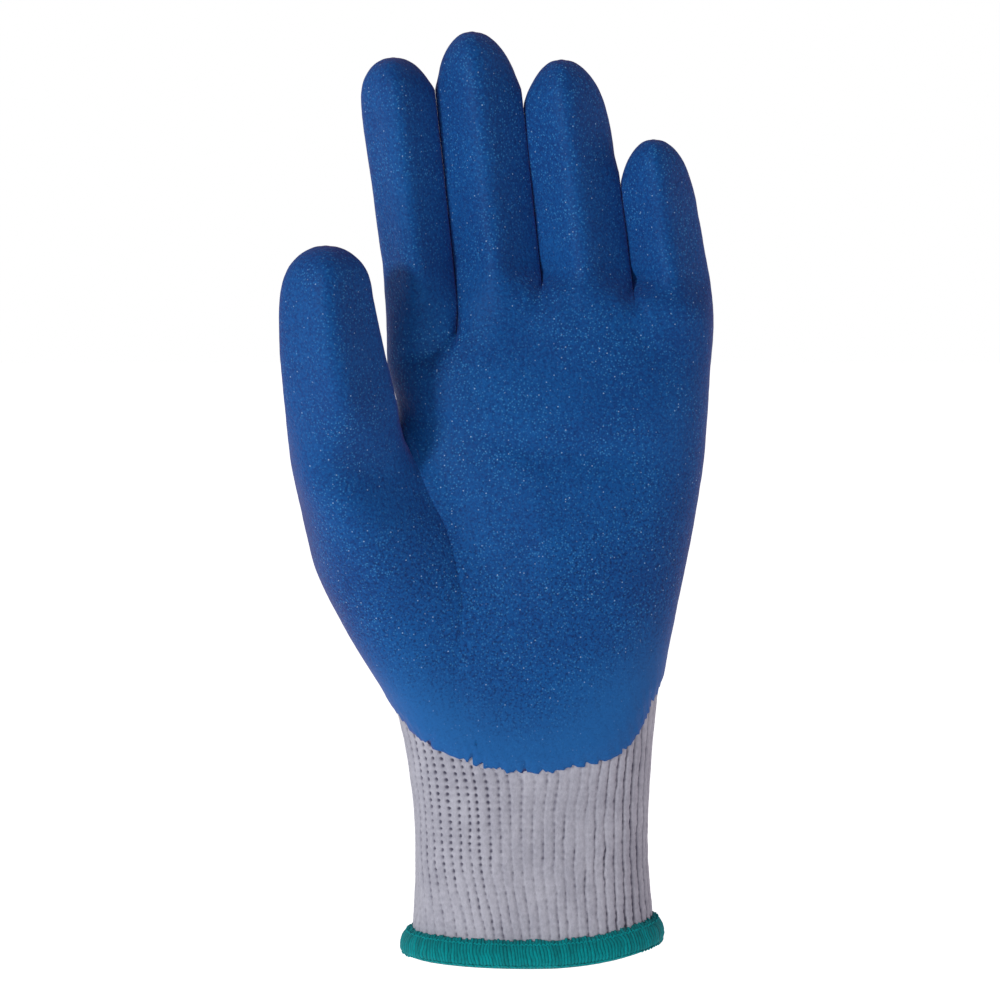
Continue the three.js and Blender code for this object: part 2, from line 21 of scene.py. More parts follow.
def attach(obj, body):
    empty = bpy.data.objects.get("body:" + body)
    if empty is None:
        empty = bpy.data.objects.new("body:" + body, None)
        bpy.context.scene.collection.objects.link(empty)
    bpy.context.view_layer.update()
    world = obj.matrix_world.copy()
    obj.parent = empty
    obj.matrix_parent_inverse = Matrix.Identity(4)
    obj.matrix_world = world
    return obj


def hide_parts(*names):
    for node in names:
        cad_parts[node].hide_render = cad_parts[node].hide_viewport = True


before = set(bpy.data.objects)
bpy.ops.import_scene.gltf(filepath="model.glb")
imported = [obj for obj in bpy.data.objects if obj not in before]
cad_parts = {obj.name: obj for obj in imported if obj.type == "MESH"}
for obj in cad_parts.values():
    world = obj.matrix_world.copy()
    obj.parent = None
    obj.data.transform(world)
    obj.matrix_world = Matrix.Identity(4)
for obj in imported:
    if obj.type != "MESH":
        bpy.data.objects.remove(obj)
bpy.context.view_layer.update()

LOG = logging.getLogger("glove")
BODY = "root"
Array = np.ndarray
PointRing = list[Array]
LooseRing = list[Array | None]
Faces = list[tuple[int, ...]]
Span = tuple[float, float]
Triple = tuple[float, float, float]
Socket = bpy.types.NodeSocket
BEYOND_TUBE = 1000  # row number of the net's faces above the cuff and heel


# Small mathematics


def raised(base: float, power: float) -> float:
    """Return base to a power, keeping its sign."""
    return math.copysign(abs(base) ** power, base)


def smooth(values: Array, start: float, end: float) -> Array:
    """Return a soft step from 0, where the values are at the start, to 1 at the end."""
    share = np.clip((values - start) / (end - start), 0.0, 1.0)
    return share * share * (3 - 2 * share)


def bell(values: Array, middle: float, width: float) -> Array:
    """Return a bell curve of height 1 round a middle value."""
    return np.exp(-(((values - middle) / width) ** 2))


def unit(vectors: Array) -> Array:
    """Return the vectors scaled to length 1."""
    return vectors / np.maximum(np.linalg.norm(vectors, axis=-1, keepdims=True), 1e-12)


class Waver:
    """Smooth repeatable noise over two coordinates."""

    SIZE = 128

    def __init__(self, seed: int) -> None:
        """Fill the lattice with random values."""
        self.table = np.random.default_rng(seed).uniform(-1, 1, (self.SIZE, self.SIZE))

    def at(self, x: Array, y: Array) -> Array:
        """Read the noise.

        Args:
            x: First coordinate; the noise repeats after SIZE.
            y: Second coordinate.

        Returns:
            Numbers from -1 to 1.
        """
        x, y = np.broadcast_arrays(x, y)
        left, low = np.floor(x).astype(int), np.floor(y).astype(int)
        across, up = smooth(x - left, 0, 1), smooth(y - low, 0, 1)

        def corner(i: int, j: int) -> Array:
            """Return the lattice values at one corner of each place's cell."""
            return self.table[(left + i) % self.SIZE, (low + j) % self.SIZE]

        below = corner(0, 0) * (1 - across) + corner(1, 0) * across
        above = corner(0, 1) * (1 - across) + corner(1, 1) * across
        return below * (1 - up) + above * up


@dataclass(frozen=True)
class Ripple:
    """One layer of wavering over the knit: its size, and how fast it changes."""

    size: float
    per_wale: float
    rise: float
    start: float = 0.0

    def at(self, waver: Waver, wale: Array, height: Array | float) -> Array:
        """Return the ripple at places given by wale number and height."""
        return self.size * waver.at(wale * self.per_wale + self.start, height / self.rise)


@dataclass(frozen=True)
class Swell:
    """A bell-shaped rise: where its middle is, how wide it is and how high."""

    middle: float
    width: float
    size: float

    def at(self, values: Array) -> Array:
        """Return the rise at some values."""
        return self.size * bell(values, self.middle, self.width)


def spline_weights(t: Array) -> tuple[Array, ...]:
    """Return how much each of four neighbours counts on a smooth curve between the middle two."""
    middle = (3 * t**3 - 6 * t**2 + 4) / 6, (-3 * t**3 + 3 * t**2 + 3 * t + 1) / 6
    return ((1 - t) ** 3 / 6, *middle, t**3 / 6)


def slope(p: Array, q: Array, r: Array, length: float) -> Array:
    """Return the slope at q of a smooth curve through three points.

    Args:
        p: The point before.
        q: The point itself.
        r: The point after.
        length: The root of the length of the stretch that the slope is for.

    Returns:
        The slope.
    """
    first = math.sqrt(np.linalg.norm(q - p))
    second = math.sqrt(np.linalg.norm(r - q))
    return ((q - p) / first - (r - p) / (first + second) + (r - q) / second) * length


# The net of the hand


@dataclass(frozen=True)
class Outline:
    """A superellipse in metres whose sides may be lifted above its middle."""

    height: float
    left: float
    right: float
    middle: float
    front: float
    back: float
    left_lift: float = 0.0
    right_lift: float = 0.0

    SIDE_LIMIT = 0.98

    def point(self, angle: float, roundness: float) -> Array:
        """Return the point at an angle.

        Args:
            angle: 0 is the right end, 90 degrees the front.
            roundness: The exponent of the superellipse.

        Returns:
            The point.
        """
        cosine = raised(math.cos(angle), 2 / roundness)
        sine = raised(math.sin(angle), 2 / roundness)
        half = (self.right - self.left) / 2
        x = (self.left + self.right) / 2 + half * cosine
        y = self.middle - sine * (self.front if sine > 0 else self.back)
        lift = (self.left_lift if cosine < 0 else self.right_lift) * cosine**2
        return np.array((x, y, self.height + lift))

    def turned_point(self, angle: float, roundness: float, turn: float) -> Array:
        """Return the point in a direction, on a boxy outline whose flats are turned.

        Args:
            angle: The direction from the middle: 0 is right, 90 degrees is forwards.
            roundness: The exponent of the superellipse.
            turn: How far its flats are turned, in radians.

        Returns:
            The point.
        """

        def reach(direction: float) -> float:
            """Return how far the outline reaches in a direction, before it is scaled."""
            u, v = abs(math.cos(direction - turn)), abs(math.sin(direction - turn))
            return (u**roundness + v**roundness) ** (-1 / roundness)

        radius = reach(angle) / reach(0.0)
        half = (self.right - self.left) / 2
        x = (self.left + self.right) / 2 + half * radius * math.cos(angle)
        depth = self.front if math.sin(angle) > 0 else self.back
        return np.array((x, self.middle - depth * radius * math.sin(angle), self.height))

    def angle_at(self, x: float, roundness: float) -> float:
        """Return the angle at which the outline's front reaches a given x.

        Args:
            x: The place across.
            roundness: The exponent of the superellipse.

        Returns:
            The angle.
        """
        half = (self.right - self.left) / 2
        share = min(max((x - self.left) / half - 1, -self.SIDE_LIMIT), self.SIDE_LIMIT)
        return math.acos(raised(share, roundness / 2))


@dataclass(frozen=True)
class Section:
    """A level section of the cuff, heel or palm, in shares of the sizes named where it is used."""

    up: float
    left: float
    right: float
    front: float
    back: float
    left_lift: float
    right_lift: float
    thenar: float = 0.0
    advance: float = 0.0
    crease: float = 0.0
    back_crease: float = 0.0

    def outline(
        self, base: float, length: float, width: float, depth: float, lift: float
    ) -> Outline:
        """Return the section's outline.

        Args:
            base: The level from which it is counted.
            length: What its height is a share of.
            width: What its sides are shares of.
            depth: What its front and back are shares of.
            lift: What its lifted sides are shares of.

        Returns:
            The outline.
        """
        sides = (self.left * width, self.right * width)
        ends = (self.front * depth, self.back * depth)
        lifts = (self.left_lift * lift, self.right_lift * lift)
        return Outline(base + self.up * length, *sides, 0.0, *ends, *lifts)


@dataclass(frozen=True)
class Finger:
    """A finger's sizes; drops are shares of the palm's length, depth and tip are shares too."""

    length: float
    width: float
    tip_width: float
    depth: float
    tip: float
    left_drop: float
    right_drop: float
    forward: float
    splay: float
    tilt: float


@dataclass(frozen=True)
class ThumbSection:
    """A level section of the thumb, in shares of the palm's and the thumb's sizes."""

    up: float
    across: float
    forward: float
    width: float
    depth: float


@dataclass
class Ring:
    """A closed row of net points with the knit's wale number at each.

    lead is the wale where the face after a point starts, trail where the face before it ends.
    """

    points: list[int]
    lead: list[float]
    trail: list[float]


@dataclass
class Net:
    """A coarse net of four-cornered faces whose smooth surface is the liner's outside."""

    points: list[Array] = field(default_factory=list)
    faces: Faces = field(default_factory=list)
    wales: list[tuple[float, ...]] = field(default_factory=list)
    latex: list[bool] = field(default_factory=list)
    row: list[int] = field(default_factory=list)

    def add_points(self, points: PointRing) -> list[int]:
        """Store points and return their numbers."""
        self.points += [np.asarray(point, float) for point in points]
        return list(range(len(self.points) - len(points), len(self.points)))

    def add_face(
        self, corners: Sequence[int], wales: Sequence[float], latex: bool, row: int = BEYOND_TUBE
    ) -> None:
        """Store a face.

        Args:
            corners: Its four points, seen from outside.
            wales: The knit's wale number at each corner.
            latex: Whether the latex covers it.
            row: Its row above the mouth, where it is part of the cuff or heel.
        """
        self.faces.append(tuple(corners))
        self.wales.append(tuple(wales))
        self.latex.append(latex)
        self.row.append(row)

    def add_rows(
        self, rings: Sequence[Ring], latex: Callable[[int, int], bool], tube: bool = False
    ) -> None:
        """Join rings into rows of faces.

        Args:
            rings: The rings from the lowest up.
            latex: Whether the latex covers the face at a row and column.
            tube: Whether the rows are counted from the mouth.
        """
        for row, (low, high) in enumerate(zip(rings, rings[1:])):
            size = len(low.points)
            for i in range(size):
                j = (i + 1) % size
                self.add_face(
                    (low.points[i], low.points[j], high.points[j], high.points[i]),
                    (low.lead[i], low.trail[j], high.trail[j], high.lead[i]),
                    latex(row, i),
                    row if tube else BEYOND_TUBE,
                )


def curve_point(a: Array | None, b: Array, c: Array, d: Array | None, share: float) -> Array:
    """Return a point between b and c on the smooth curve through a, b, c and d.

    Args:
        a: The point before b, or None at the curve's start.
        b: Where share is 0.
        c: Where share is 1.
        d: The point after c, or None at the curve's end.
        share: How far along the point lies.

    Returns:
        The point.
    """
    chord = c - b
    length = math.sqrt(np.linalg.norm(chord))
    start = chord if a is None else slope(a, b, c, length)
    end = chord if d is None else slope(b, c, d, length)
    s = share
    return (
        b * (2 * s**3 - 3 * s**2 + 1)
        + start * (s**3 - 2 * s**2 + s)
        + c * (3 * s**2 - 2 * s**3)
        + end * (s**3 - s**2)
    )


@dataclass
class HandForm:
    """Sizes of the knitted liner's outside, and the net that they give."""

    cuff_length: float = 0.049
    heel_length: float = 0.082
    palm_length: float = 0.047
    thumb_length: float = 0.060
    cuff_width: float = 0.064
    cuff_depth: float = 0.039
    palm_width: float = 0.0866
    palm_depth: float = 0.036
    thumb_width: float = 0.026
    thumb_depth: float = 0.024
    finger_depth: float = 0.0205
    finger_lean: float = math.radians(6)
    finger_curl: float = 0.0065
    web_rise: float = 0.005
    web_width: float = 0.0027
    press: float = 0.0014
    press_range: float = 0.0075
    press_gap: float = 0.00002
    press_start: Span = (0.009, 0.001)
    press_end: Span = (0.012, 0.002)
    press_fade: float = 1.6
    reach: float = 0.3
    finger_turn: float = math.radians(48)
    thumb_turn: float = math.radians(42)
    turned_roundness: float = 4.6
    turned_degrees: tuple[float, ...] = (180, 150, 114, 94, 74, 32, 0, -32, -74, -94, -114, -150)
    rows_between: int = 2
    finger_columns: int = 5
    back_latex: int = 1
    wale_count: int = 69
    back_wales: float = 1.3
    finger_roundness: float = 2.2
    palm_roundness: float = 2.5
    knuckle_middle: float = 0.060
    knuckle_front: float = 0.38
    knuckle_back: float = 0.40
    knuckle_dimple: float = 0.2
    knuckle_roundness: float = 3.5
    taper_end: float = 0.8
    cuff_crease: float = -0.20
    crest_across: float = -0.42
    crest_forward: float = 0.17
    crest_rise: float = 0.23
    crest_back_rise: float = 0.10
    tip_angles: tuple[float, ...] = (0, 28, 52, 72)
    thenar_shares: tuple[float, ...] = (0.0, 0.40, 0.95, 1.14, 0.74, 0.06)
    hollow_shares: tuple[float, ...] = (0.30, 0.48, 0.44, 0.28, 0.12)

    CUFF = (
        Section(-0.015, -0.513, 0.532, 0.52, 0.52, 0.02, 0.09),
        Section(0.40, -0.497, 0.504, 0.50, 0.50, 0.06, 0.10),
        Section(0.75, -0.510, 0.510, 0.49, 0.49, 0.10, 0.15),
        Section(1.00, -0.585, 0.550, 0.49, 0.48, 0.35, 0.49),
    )
    HEEL = (
        Section(0.25, -0.546, 0.433, 0.54, 0.48, 0.28, 0.34, 0.03, 0.00, -0.25, -0.27),
        Section(0.55, -0.663, 0.475, 0.56, 0.47, 0.18, 0.20, 0.10, 0.04, -0.23, -0.36),
        Section(0.80, -0.712, 0.508, 0.55, 0.46, 0.12, 0.10, 0.23, 0.15, -0.28, -0.42),
        Section(1.00, -0.739, 0.530, 0.52, 0.45, 0.06, 0.00, 0.26, 0.37, -0.36, -0.47),
    )
    PALM = (
        Section(0.27, -0.415, 0.543, 0.49, 0.44, 0.16, 0.0),
        Section(0.56, -0.440, 0.552, 0.45, 0.43, 0.05, 0.0),
    )
    THUMB = (
        ThumbSection(0.30, -0.590, 0.63, 1.08, 1.08),
        ThumbSection(0.55, -0.616, 0.73, 0.99, 1.00),
        ThumbSection(0.78, -0.631, 0.77, 0.88, 0.92),
    )
    THUMB_TIP = (-0.630, 0.79)
    FINGERS = (
        Finger(0.0640, 0.0168, 0.0180, 0.98, 0.62, 0.22, 0.24, 0.0012, 0.0, 0.15),
        Finger(0.0710, 0.0208, 0.0208, 1.03, 0.92, 0.24, 0.00, 0.0005, 0.0, 0.03),
        Finger(0.0635, 0.0220, 0.0206, 1.02, 0.90, 0.00, 0.05, 0.0, 0.0, 0.03),
        Finger(0.0420, 0.0194, 0.0166, 0.90, 0.85, 0.05, 0.12, -0.0008, 1.6, 0.0),
    )
    FINGER_LEVELS = ((0.11, 1.11), (0.24, 1.09), (0.48, 1.00))

    def __post_init__(self) -> None:
        """Work out the counts and levels that follow from the sizes."""
        self.finger_count = len(self.FINGERS)
        self.palm_columns = self.finger_columns * self.finger_count
        self.hand_size = 2 * (self.palm_columns + self.finger_columns) + 2
        self.palm_size = 2 * self.palm_columns + 2
        self.front_start = self.finger_columns + 1
        self.back_end = self.hand_size - self.finger_columns
        self.crotch = self.cuff_length + self.heel_length
        self.web_level = self.crotch + self.palm_length
        self.edge_row = (len(self.CUFF) - 1) * self.rows_between
        widths = sum(finger.width for finger in self.FINGERS)
        self.knuckle_row = widths + (self.finger_count - 1) * self.web_width
        self.knuckle_left = self.knuckle_middle * self.palm_width - self.knuckle_row / 2
        count = 2 * self.finger_columns + 2
        step = math.pi / (self.finger_columns + 1)
        self.finger_angles = [math.pi - i * step for i in range(count)]
        self.turned_angles = [math.radians(angle) for angle in self.turned_degrees]
        self.net = Net()
        self.tube: list[Ring] = []
        self._build()

    def _hand_ring(self, section: Section, cuff: bool) -> PointRing:
        """Return a ring of the cuff or heel: thumb front, palm front, palm back, thumb back.

        Args:
            section: The section's shares.
            cuff: Whether it belongs to the cuff, with the cuff's sizes.

        Returns:
            The ring's points.
        """
        if cuff:
            sizes = (0.0, self.cuff_length, self.cuff_width, self.cuff_depth)
        else:
            sizes = (self.cuff_length, self.heel_length, self.palm_width, self.palm_depth)
        outline = section.outline(*sizes, self.cuff_length)
        crease = self.cuff_crease if cuff else section.crease
        back_crease = self.cuff_crease if cuff else section.back_crease

        def border(share: float, side: int) -> float:
            """Return the angle where the thumb's part meets the palm's."""
            x = share * self.palm_width + side * self.web_width / 2
            return outline.angle_at(x, self.palm_roundness)

        columns, palm = self.finger_columns, self.palm_columns
        thumb = range(columns + 1)

        def half_round(crease: float) -> list[float]:
            """Return the angles from the thumb's side to the far side, by way of a crease."""
            near = [math.pi + (border(crease, -1) - math.pi) * i / columns for i in thumb]
            return near + [border(crease, 1) * (1 - i / palm) for i in range(palm)]

        back = half_round(back_crease)[:0:-1]
        angles = [*half_round(crease), 0.0, *(-angle for angle in back)]
        ring = [outline.point(angle, self.palm_roundness) for angle in angles]
        for i, point in enumerate(ring):
            column = min(i, self.hand_size - i)
            if column < columns:
                turn = math.cos(math.pi / 2 * column / columns) ** 2
                point[1] -= section.advance * self.palm_depth * turn
            if i <= columns:
                point[1] -= section.thenar * self.palm_depth * self.thenar_shares[i]
            if 0 <= i - columns < len(self.hollow_shares):
                share = section.thenar * self.hollow_shares[i - columns]
                point[1] += share * self.palm_depth
        return ring

    def _palm_ring(self, section: Section) -> PointRing:
        """Return a ring of the palm above the thumb: left side, front, right side, back.

        Args:
            section: The section's shares.

        Returns:
            The ring's points.
        """
        length = self.palm_length
        sizes = (self.crotch, length, self.palm_width, self.palm_depth, length)
        outline = section.outline(*sizes)
        step = math.pi / (self.palm_columns + 1)
        angles = [math.pi - i * step for i in range(self.palm_columns + 1)] + [0.0]
        angles += [-(math.pi - i * step) for i in range(self.palm_columns, 0, -1)]
        return [outline.point(angle, self.palm_roundness) for angle in angles]

    def _finger_width(self, finger: Finger, height: float) -> float:
        """Return how wide a finger is at a level, without its rounded end."""
        share = (height - self.web_level) / (self.taper_end * finger.length)
        return finger.width + (finger.tip_width - finger.width) * min(max(share, 0.0), 1.0)

    def _finger_middle(self, index: int, height: float) -> float:
        """Return where the middle of a finger lies across the hand.

        Args:
            index: The finger's number.
            height: The level above the mouth.

        Returns:
            The place along X.
        """
        fingers = self.FINGERS
        rise = max(0.0, height - self.web_level)
        x = self.knuckle_left + fingers[0].width + self.web_width + fingers[1].width / 2
        x -= rise * math.tan(self.finger_lean)

        def pace(i: int, j: int) -> float:
            """Return how far apart the middles of two neighbours are."""
            wide = self._finger_width(fingers[i], height)
            return (wide + self._finger_width(fingers[j], height)) / 2 + self.web_width

        if index < 1:
            return x - pace(0, 1)
        for i in range(2, index + 1):
            x += pace(i - 1, i) + rise * math.tan(math.radians(fingers[i].splay))
        return x

    def pressed(self, points: Array) -> Array:
        """Return points of the coat with neighbouring fingers pressed against each other.

        Args:
            points: Points of the coat's surface.

        Returns:
            The points, moved towards the plane between two fingers where they lie near it.
        """
        result = points.copy()
        for index in range(self.finger_count - 1):
            left, right = self.FINGERS[index], self.FINGERS[index + 1]
            heights = np.linspace(0, self.reach, 301)
            middles = []
            for h in heights:
                low = self._finger_middle(index, h) + self._finger_width(left, h) / 2
                high = self._finger_middle(index + 1, h) - self._finger_width(right, h) / 2
                middles.append((low + high) / 2)
            z = result[:, 2]
            offset = result[:, 0] - np.interp(z, heights, middles)
            away = np.abs(offset)
            drop = min(left.right_drop, right.left_drop) * self.palm_length
            crest = self.web_level - drop + self.web_rise
            top = self.web_level + min(left.length, right.length)
            share = smooth(z, crest - self.press_start[0], crest - self.press_start[1])
            share *= 1 - smooth(z, top - self.press_end[0], top - self.press_end[1])
            share *= 1 + bell(z, crest + self.web_rise, self.web_rise)
            fade = np.clip(1 - away / self.press_range, 0, 1) ** self.press_fade
            pull = self.press * share * fade
            nearer = np.maximum(away - pull, np.minimum(away, self.press_gap))
            near = away < self.press_range
            result[near, 0] += (np.sign(offset) * (nearer - away))[near]
        return result

    def _finger_base(self, index: int) -> PointRing:
        """Return the ring where a finger leaves the palm.

        Args:
            index: The finger's number.

        Returns:
            The ring's points.
        """
        finger = self.FINGERS[index]
        middle = self._finger_middle(index, self.web_level)
        left = self.web_level - finger.left_drop * self.palm_length
        right = self.web_level - finger.right_drop * self.palm_length
        ring = []
        for i, angle in enumerate(self.finger_angles):
            across = raised(math.cos(angle), 2 / self.finger_roundness)
            x = middle + across * finger.width / 2
            level = left + (right - left) * (across + 1) / 2
            if i in (0, self.finger_columns + 1):
                free = index == 0 if i == 0 else index == self.finger_count - 1
                ring.append(np.array((x, 0.0, level + (0.0 if free else self.web_rise))))
                continue
            reach = abs((x - self.knuckle_left) / (self.knuckle_row / 2) - 1)
            arc = (1 - reach**self.knuckle_roundness) ** (1 / self.knuckle_roundness)
            dimple = 1 - self.knuckle_dimple * across**2
            front = -self.knuckle_front * (1 - finger.tilt * across)
            depth = front if math.sin(angle) > 0 else self.knuckle_back
            ring.append(np.array((x, depth * self.palm_depth * arc * dimple, level)))
        return ring

    def _finger_ring(
        self, index: int, height: float, scale: float, thickness: float
    ) -> PointRing:
        """Return a ring of a finger.

        Args:
            index: The finger's number.
            height: The ring's level.
            scale: Share of the finger's full section, less than 1 on its rounded end.
            thickness: Share of the finger's depth.

        Returns:
            The ring's points.
        """
        finger = self.FINGERS[index]
        share = (height - self.web_level) / finger.length
        half = self._finger_width(finger, height) / 2 * scale
        x, y = self._finger_middle(index, height), -finger.forward - self.finger_curl * share**2
        depth = finger.depth * self.finger_depth * thickness * scale / 2
        outline = Outline(height, x - half, x + half, y, depth, depth)
        return self._turned(outline, scale, self.finger_turn)

    def _turned(self, outline: Outline, scale: float, turn: float) -> PointRing:
        """Return a ring on an outline with turned flats, which goes round towards the tip."""
        roundness = np.interp(scale**2, (0, 1), (self.finger_roundness, self.turned_roundness))
        return [outline.turned_point(a, roundness, turn) for a in self.turned_angles]

    def _finger_rings(self, index: int) -> list[PointRing]:
        """Return a finger's rings above its base.

        Args:
            index: The finger's number.

        Returns:
            The rings from the lowest up.
        """
        finger = self.FINGERS[index]
        tip_length = finger.tip * finger.tip_width
        top = self.web_level + finger.length
        rings = [
            self._finger_ring(index, self.web_level + up * finger.length, 1.0, depth)
            for up, depth in self.FINGER_LEVELS
        ]
        for angle in map(math.radians, self.tip_angles):
            height = top - tip_length * (1 - math.sin(angle))
            rings.append(self._finger_ring(index, height, math.cos(angle), 1.0))
        return rings

    def _thumb_ring(self, s: ThumbSection, height: float, scale: float) -> PointRing:
        """Return a ring of the thumb.

        Args:
            s: The section's shares.
            height: The ring's level.
            scale: Share of the full section, less than 1 on the rounded end.

        Returns:
            The ring's points.
        """
        half = s.width * self.thumb_width * scale / 2
        depth = s.depth * self.thumb_depth * scale / 2
        x, y = s.across * self.palm_width, -s.forward * self.palm_depth
        outline = Outline(height, x - half, x + half, y, depth, depth)
        return self._turned(outline, scale, self.thumb_turn)

    def _thumb_rings(self) -> list[PointRing]:
        """Return the thumb's rings above its base.

        Returns:
            The rings from the lowest up.
        """
        rings = [
            self._thumb_ring(s, self.crotch + s.up * self.thumb_length, 1.0)
            for s in self.THUMB
        ]
        last = self.THUMB[-1]
        start = self.crotch + last.up * self.thumb_length
        tip_length = self.crotch + self.thumb_length - start
        for angle in map(math.radians, self.tip_angles[1:]):
            rise = math.sin(angle)
            moved = replace(
                last,
                across=last.across + (self.THUMB_TIP[0] - last.across) * rise,
                forward=last.forward + (self.THUMB_TIP[1] - last.forward) * rise,
            )
            rings.append(self._thumb_ring(moved, start + tip_length * rise, math.cos(angle)))
        return rings

    def _filled(
        self, rings: list[PointRing], before: LooseRing | None, after: LooseRing | None
    ) -> list[PointRing]:
        """Return the rings with others filled in between.

        Args:
            rings: The given rings, which stay as they are.
            before: The ring beyond the first, or None.
            after: The ring beyond the last, or None.

        Returns:
            All the rings in order.
        """
        none = [None] * len(rings[0])
        every = [before or none, *rings, after or none]
        result = [rings[0]]
        for i in range(1, len(rings)):
            near = list(zip(*every[i - 1 : i + 3]))
            for j in range(1, self.rows_between):
                result.append([curve_point(*four, j / self.rows_between) for four in near])
            result.append(rings[i])
        return result

    def _tube_wales(self, ring: PointRing) -> list[float]:
        """Return the wale number at each point of a ring of the cuff or heel.

        Args:
            ring: The ring's points.

        Returns:
            One number for each point, and one more where the ring closes.
        """
        loop = np.array([*ring, ring[0]])
        steps = np.linalg.norm(np.diff(loop, axis=0), axis=1)
        right = self.front_start + self.palm_columns
        steps[right:] *= self.back_wales
        total = np.concatenate([[0.0], np.cumsum(steps)])
        return list(total / total[-1] * self.wale_count)

    def _under_latex(self, i: int, front_end: int, size: int) -> bool:
        """Return whether the latex covers a column of a ring."""
        return i < front_end + self.back_latex or i >= size - self.back_latex

    def _branch(
        self, base: Ring, rings: list[PointRing], before: LooseRing, top: float, tip_length: float
    ) -> None:
        """Add a finger or thumb on its base.

        Args:
            base: The ring that it stands on.
            rings: Its own rings.
            before: The points below its base.
            top: Its tip's level.
            tip_length: The length of its rounded end.
        """
        points = self.net.points
        straight = len(rings) - len(self.tip_angles) + 1
        base_points = [points[number] for number in base.points]
        rows = self._filled([base_points, *rings[:straight]], before, rings[straight])
        stack = [base]
        for ring in [*rows[1:], *rings[straight:]]:
            stack.append(Ring(self.net.add_points(ring), base.lead, base.trail))
        tip_row = len(stack) - len(self.tip_angles)
        front_end = self.finger_columns + 1
        self.net.add_rows(
            stack,
            lambda row, i: row >= tip_row
            or self._under_latex(i, front_end, len(self.finger_angles)),
        )
        self._close_tip(stack[-1], top, tip_length)

    def _close_tip(self, ring: Ring, top: float, tip_length: float) -> None:
        """Close a rounded end over its last ring.

        Args:
            ring: The last ring.
            top: The tip's level.
            tip_length: The length of the rounded end.
        """
        columns, points, numbers = self.finger_columns, self.net.points, ring.points
        size = 2 * columns + 2
        crest = [numbers[0]]
        last = math.cos(math.radians(self.tip_angles[-1]))
        for i in range(2, columns):
            point = (points[numbers[i]] + points[numbers[size - i]]) / 2
            share = last * math.cos(math.pi * i / (columns + 1))
            point[2] = top - tip_length * (1 - math.sqrt(1 - share**2))
            crest += self.net.add_points([point])
        crest.append(numbers[columns + 1])
        for i in range(1, columns):
            back, ahead = numbers[size - i], numbers[size - i - 1]
            wales = (ring.lead[i], ring.lead[i + 1], ring.lead[i + 1], ring.lead[i])
            front = (numbers[i], numbers[i + 1], crest[i], crest[i - 1])
            self.net.add_face(front, wales, True)
            self.net.add_face((crest[i - 1], crest[i], ahead, back), wales, True)

    def _build(self) -> None:
        """Build the whole net."""
        columns, net = self.finger_columns, self.net
        hand = [self._hand_ring(s, True) for s in self.CUFF]
        hand += [self._hand_ring(s, False) for s in self.HEEL]
        parting = hand[-1]
        for i in (self.back_end - 1, self.back_end):
            parting[i][2] += self.crest_back_rise * self.palm_length
        across = self.crest_across * self.palm_width
        forward = -self.crest_forward * self.palm_depth
        level = self.crotch + self.crest_rise * self.palm_length
        crest = [
            np.array((across + side * self.web_width / 2, forward, level)) for side in (-1, 1)
        ]
        palm_rings = [self._palm_ring(s) for s in self.PALM]
        thumb = self._thumb_rings()
        low = thumb[0]
        beyond = [*low[: self.front_start], *palm_rings[0][1:], *low[columns + 2 :]]
        for ring in self._filled(hand, None, beyond):
            *wales, close = self._tube_wales(ring)
            self.tube.append(Ring(net.add_points(ring), wales, [close, *wales[1:]]))
        front_end = self.front_start + self.palm_columns
        net.add_rows(
            self.tube,
            lambda row, i: row >= self.edge_row
            and self._under_latex(i, front_end, self.hand_size),
            tube=True,
        )
        fork, last = self.tube[-1], hand[-2]
        half = self.wale_count / self.hand_size / 2
        sides = net.add_points(crest)
        inner = slice(self.front_start, self.back_end)

        # Palm up to the webs of the fingers
        tops = [self._finger_base(i) for i in range(self.finger_count)]
        tubes = [self._finger_rings(i) for i in range(self.finger_count)]

        def over_palm(rings: list[PointRing]) -> PointRing:
            """Return the ring of the palm's columns that the fingers' rings make.

            Args:
                rings: One ring for each finger.

            Returns:
                Left side, fronts, right side and backs.
            """
            order = range(self.palm_columns)
            front = [rings[i // columns][1 + i % columns] for i in order]
            back = [rings[i // columns][2 * columns + 1 - i % columns] for i in order]
            return [rings[0][0], *front, rings[-1][columns + 1], *back[::-1]]

        palm_rows = self._filled(
            [[crest[1], *parting[inner]], *palm_rings, over_palm(tops)],
            [None, *last[inner]],
            over_palm([rings[0] for rings in tubes]),
        )
        palm_wales = fork.lead[inner]
        lead = [palm_wales[0] - half, *palm_wales]
        trail = [palm_wales[-1] + half, *palm_wales]
        palm = [Ring([sides[1], *fork.points[inner]], lead, trail)]
        for ring in palm_rows[1:]:
            palm.append(Ring(net.add_points(ring), lead, trail))
        net.add_rows(
            palm,
            lambda row, i: self._under_latex(i, self.palm_columns + 1, self.palm_size),
        )

        # Thumb
        end = self.back_end
        ring = Ring(
            [*fork.points[: self.front_start], sides[0], *fork.points[end:]],
            [*fork.lead[: self.front_start], fork.lead[end] - half, *fork.lead[end:]],
            [*fork.trail[: self.front_start], fork.lead[columns] + half, *fork.trail[end:]],
        )
        before = [*last[: self.front_start], None, *last[end:]]
        tip_length = (1 - self.THUMB[-1].up) * self.thumb_length
        self._branch(ring, thumb, before, self.crotch + self.thumb_length, tip_length)

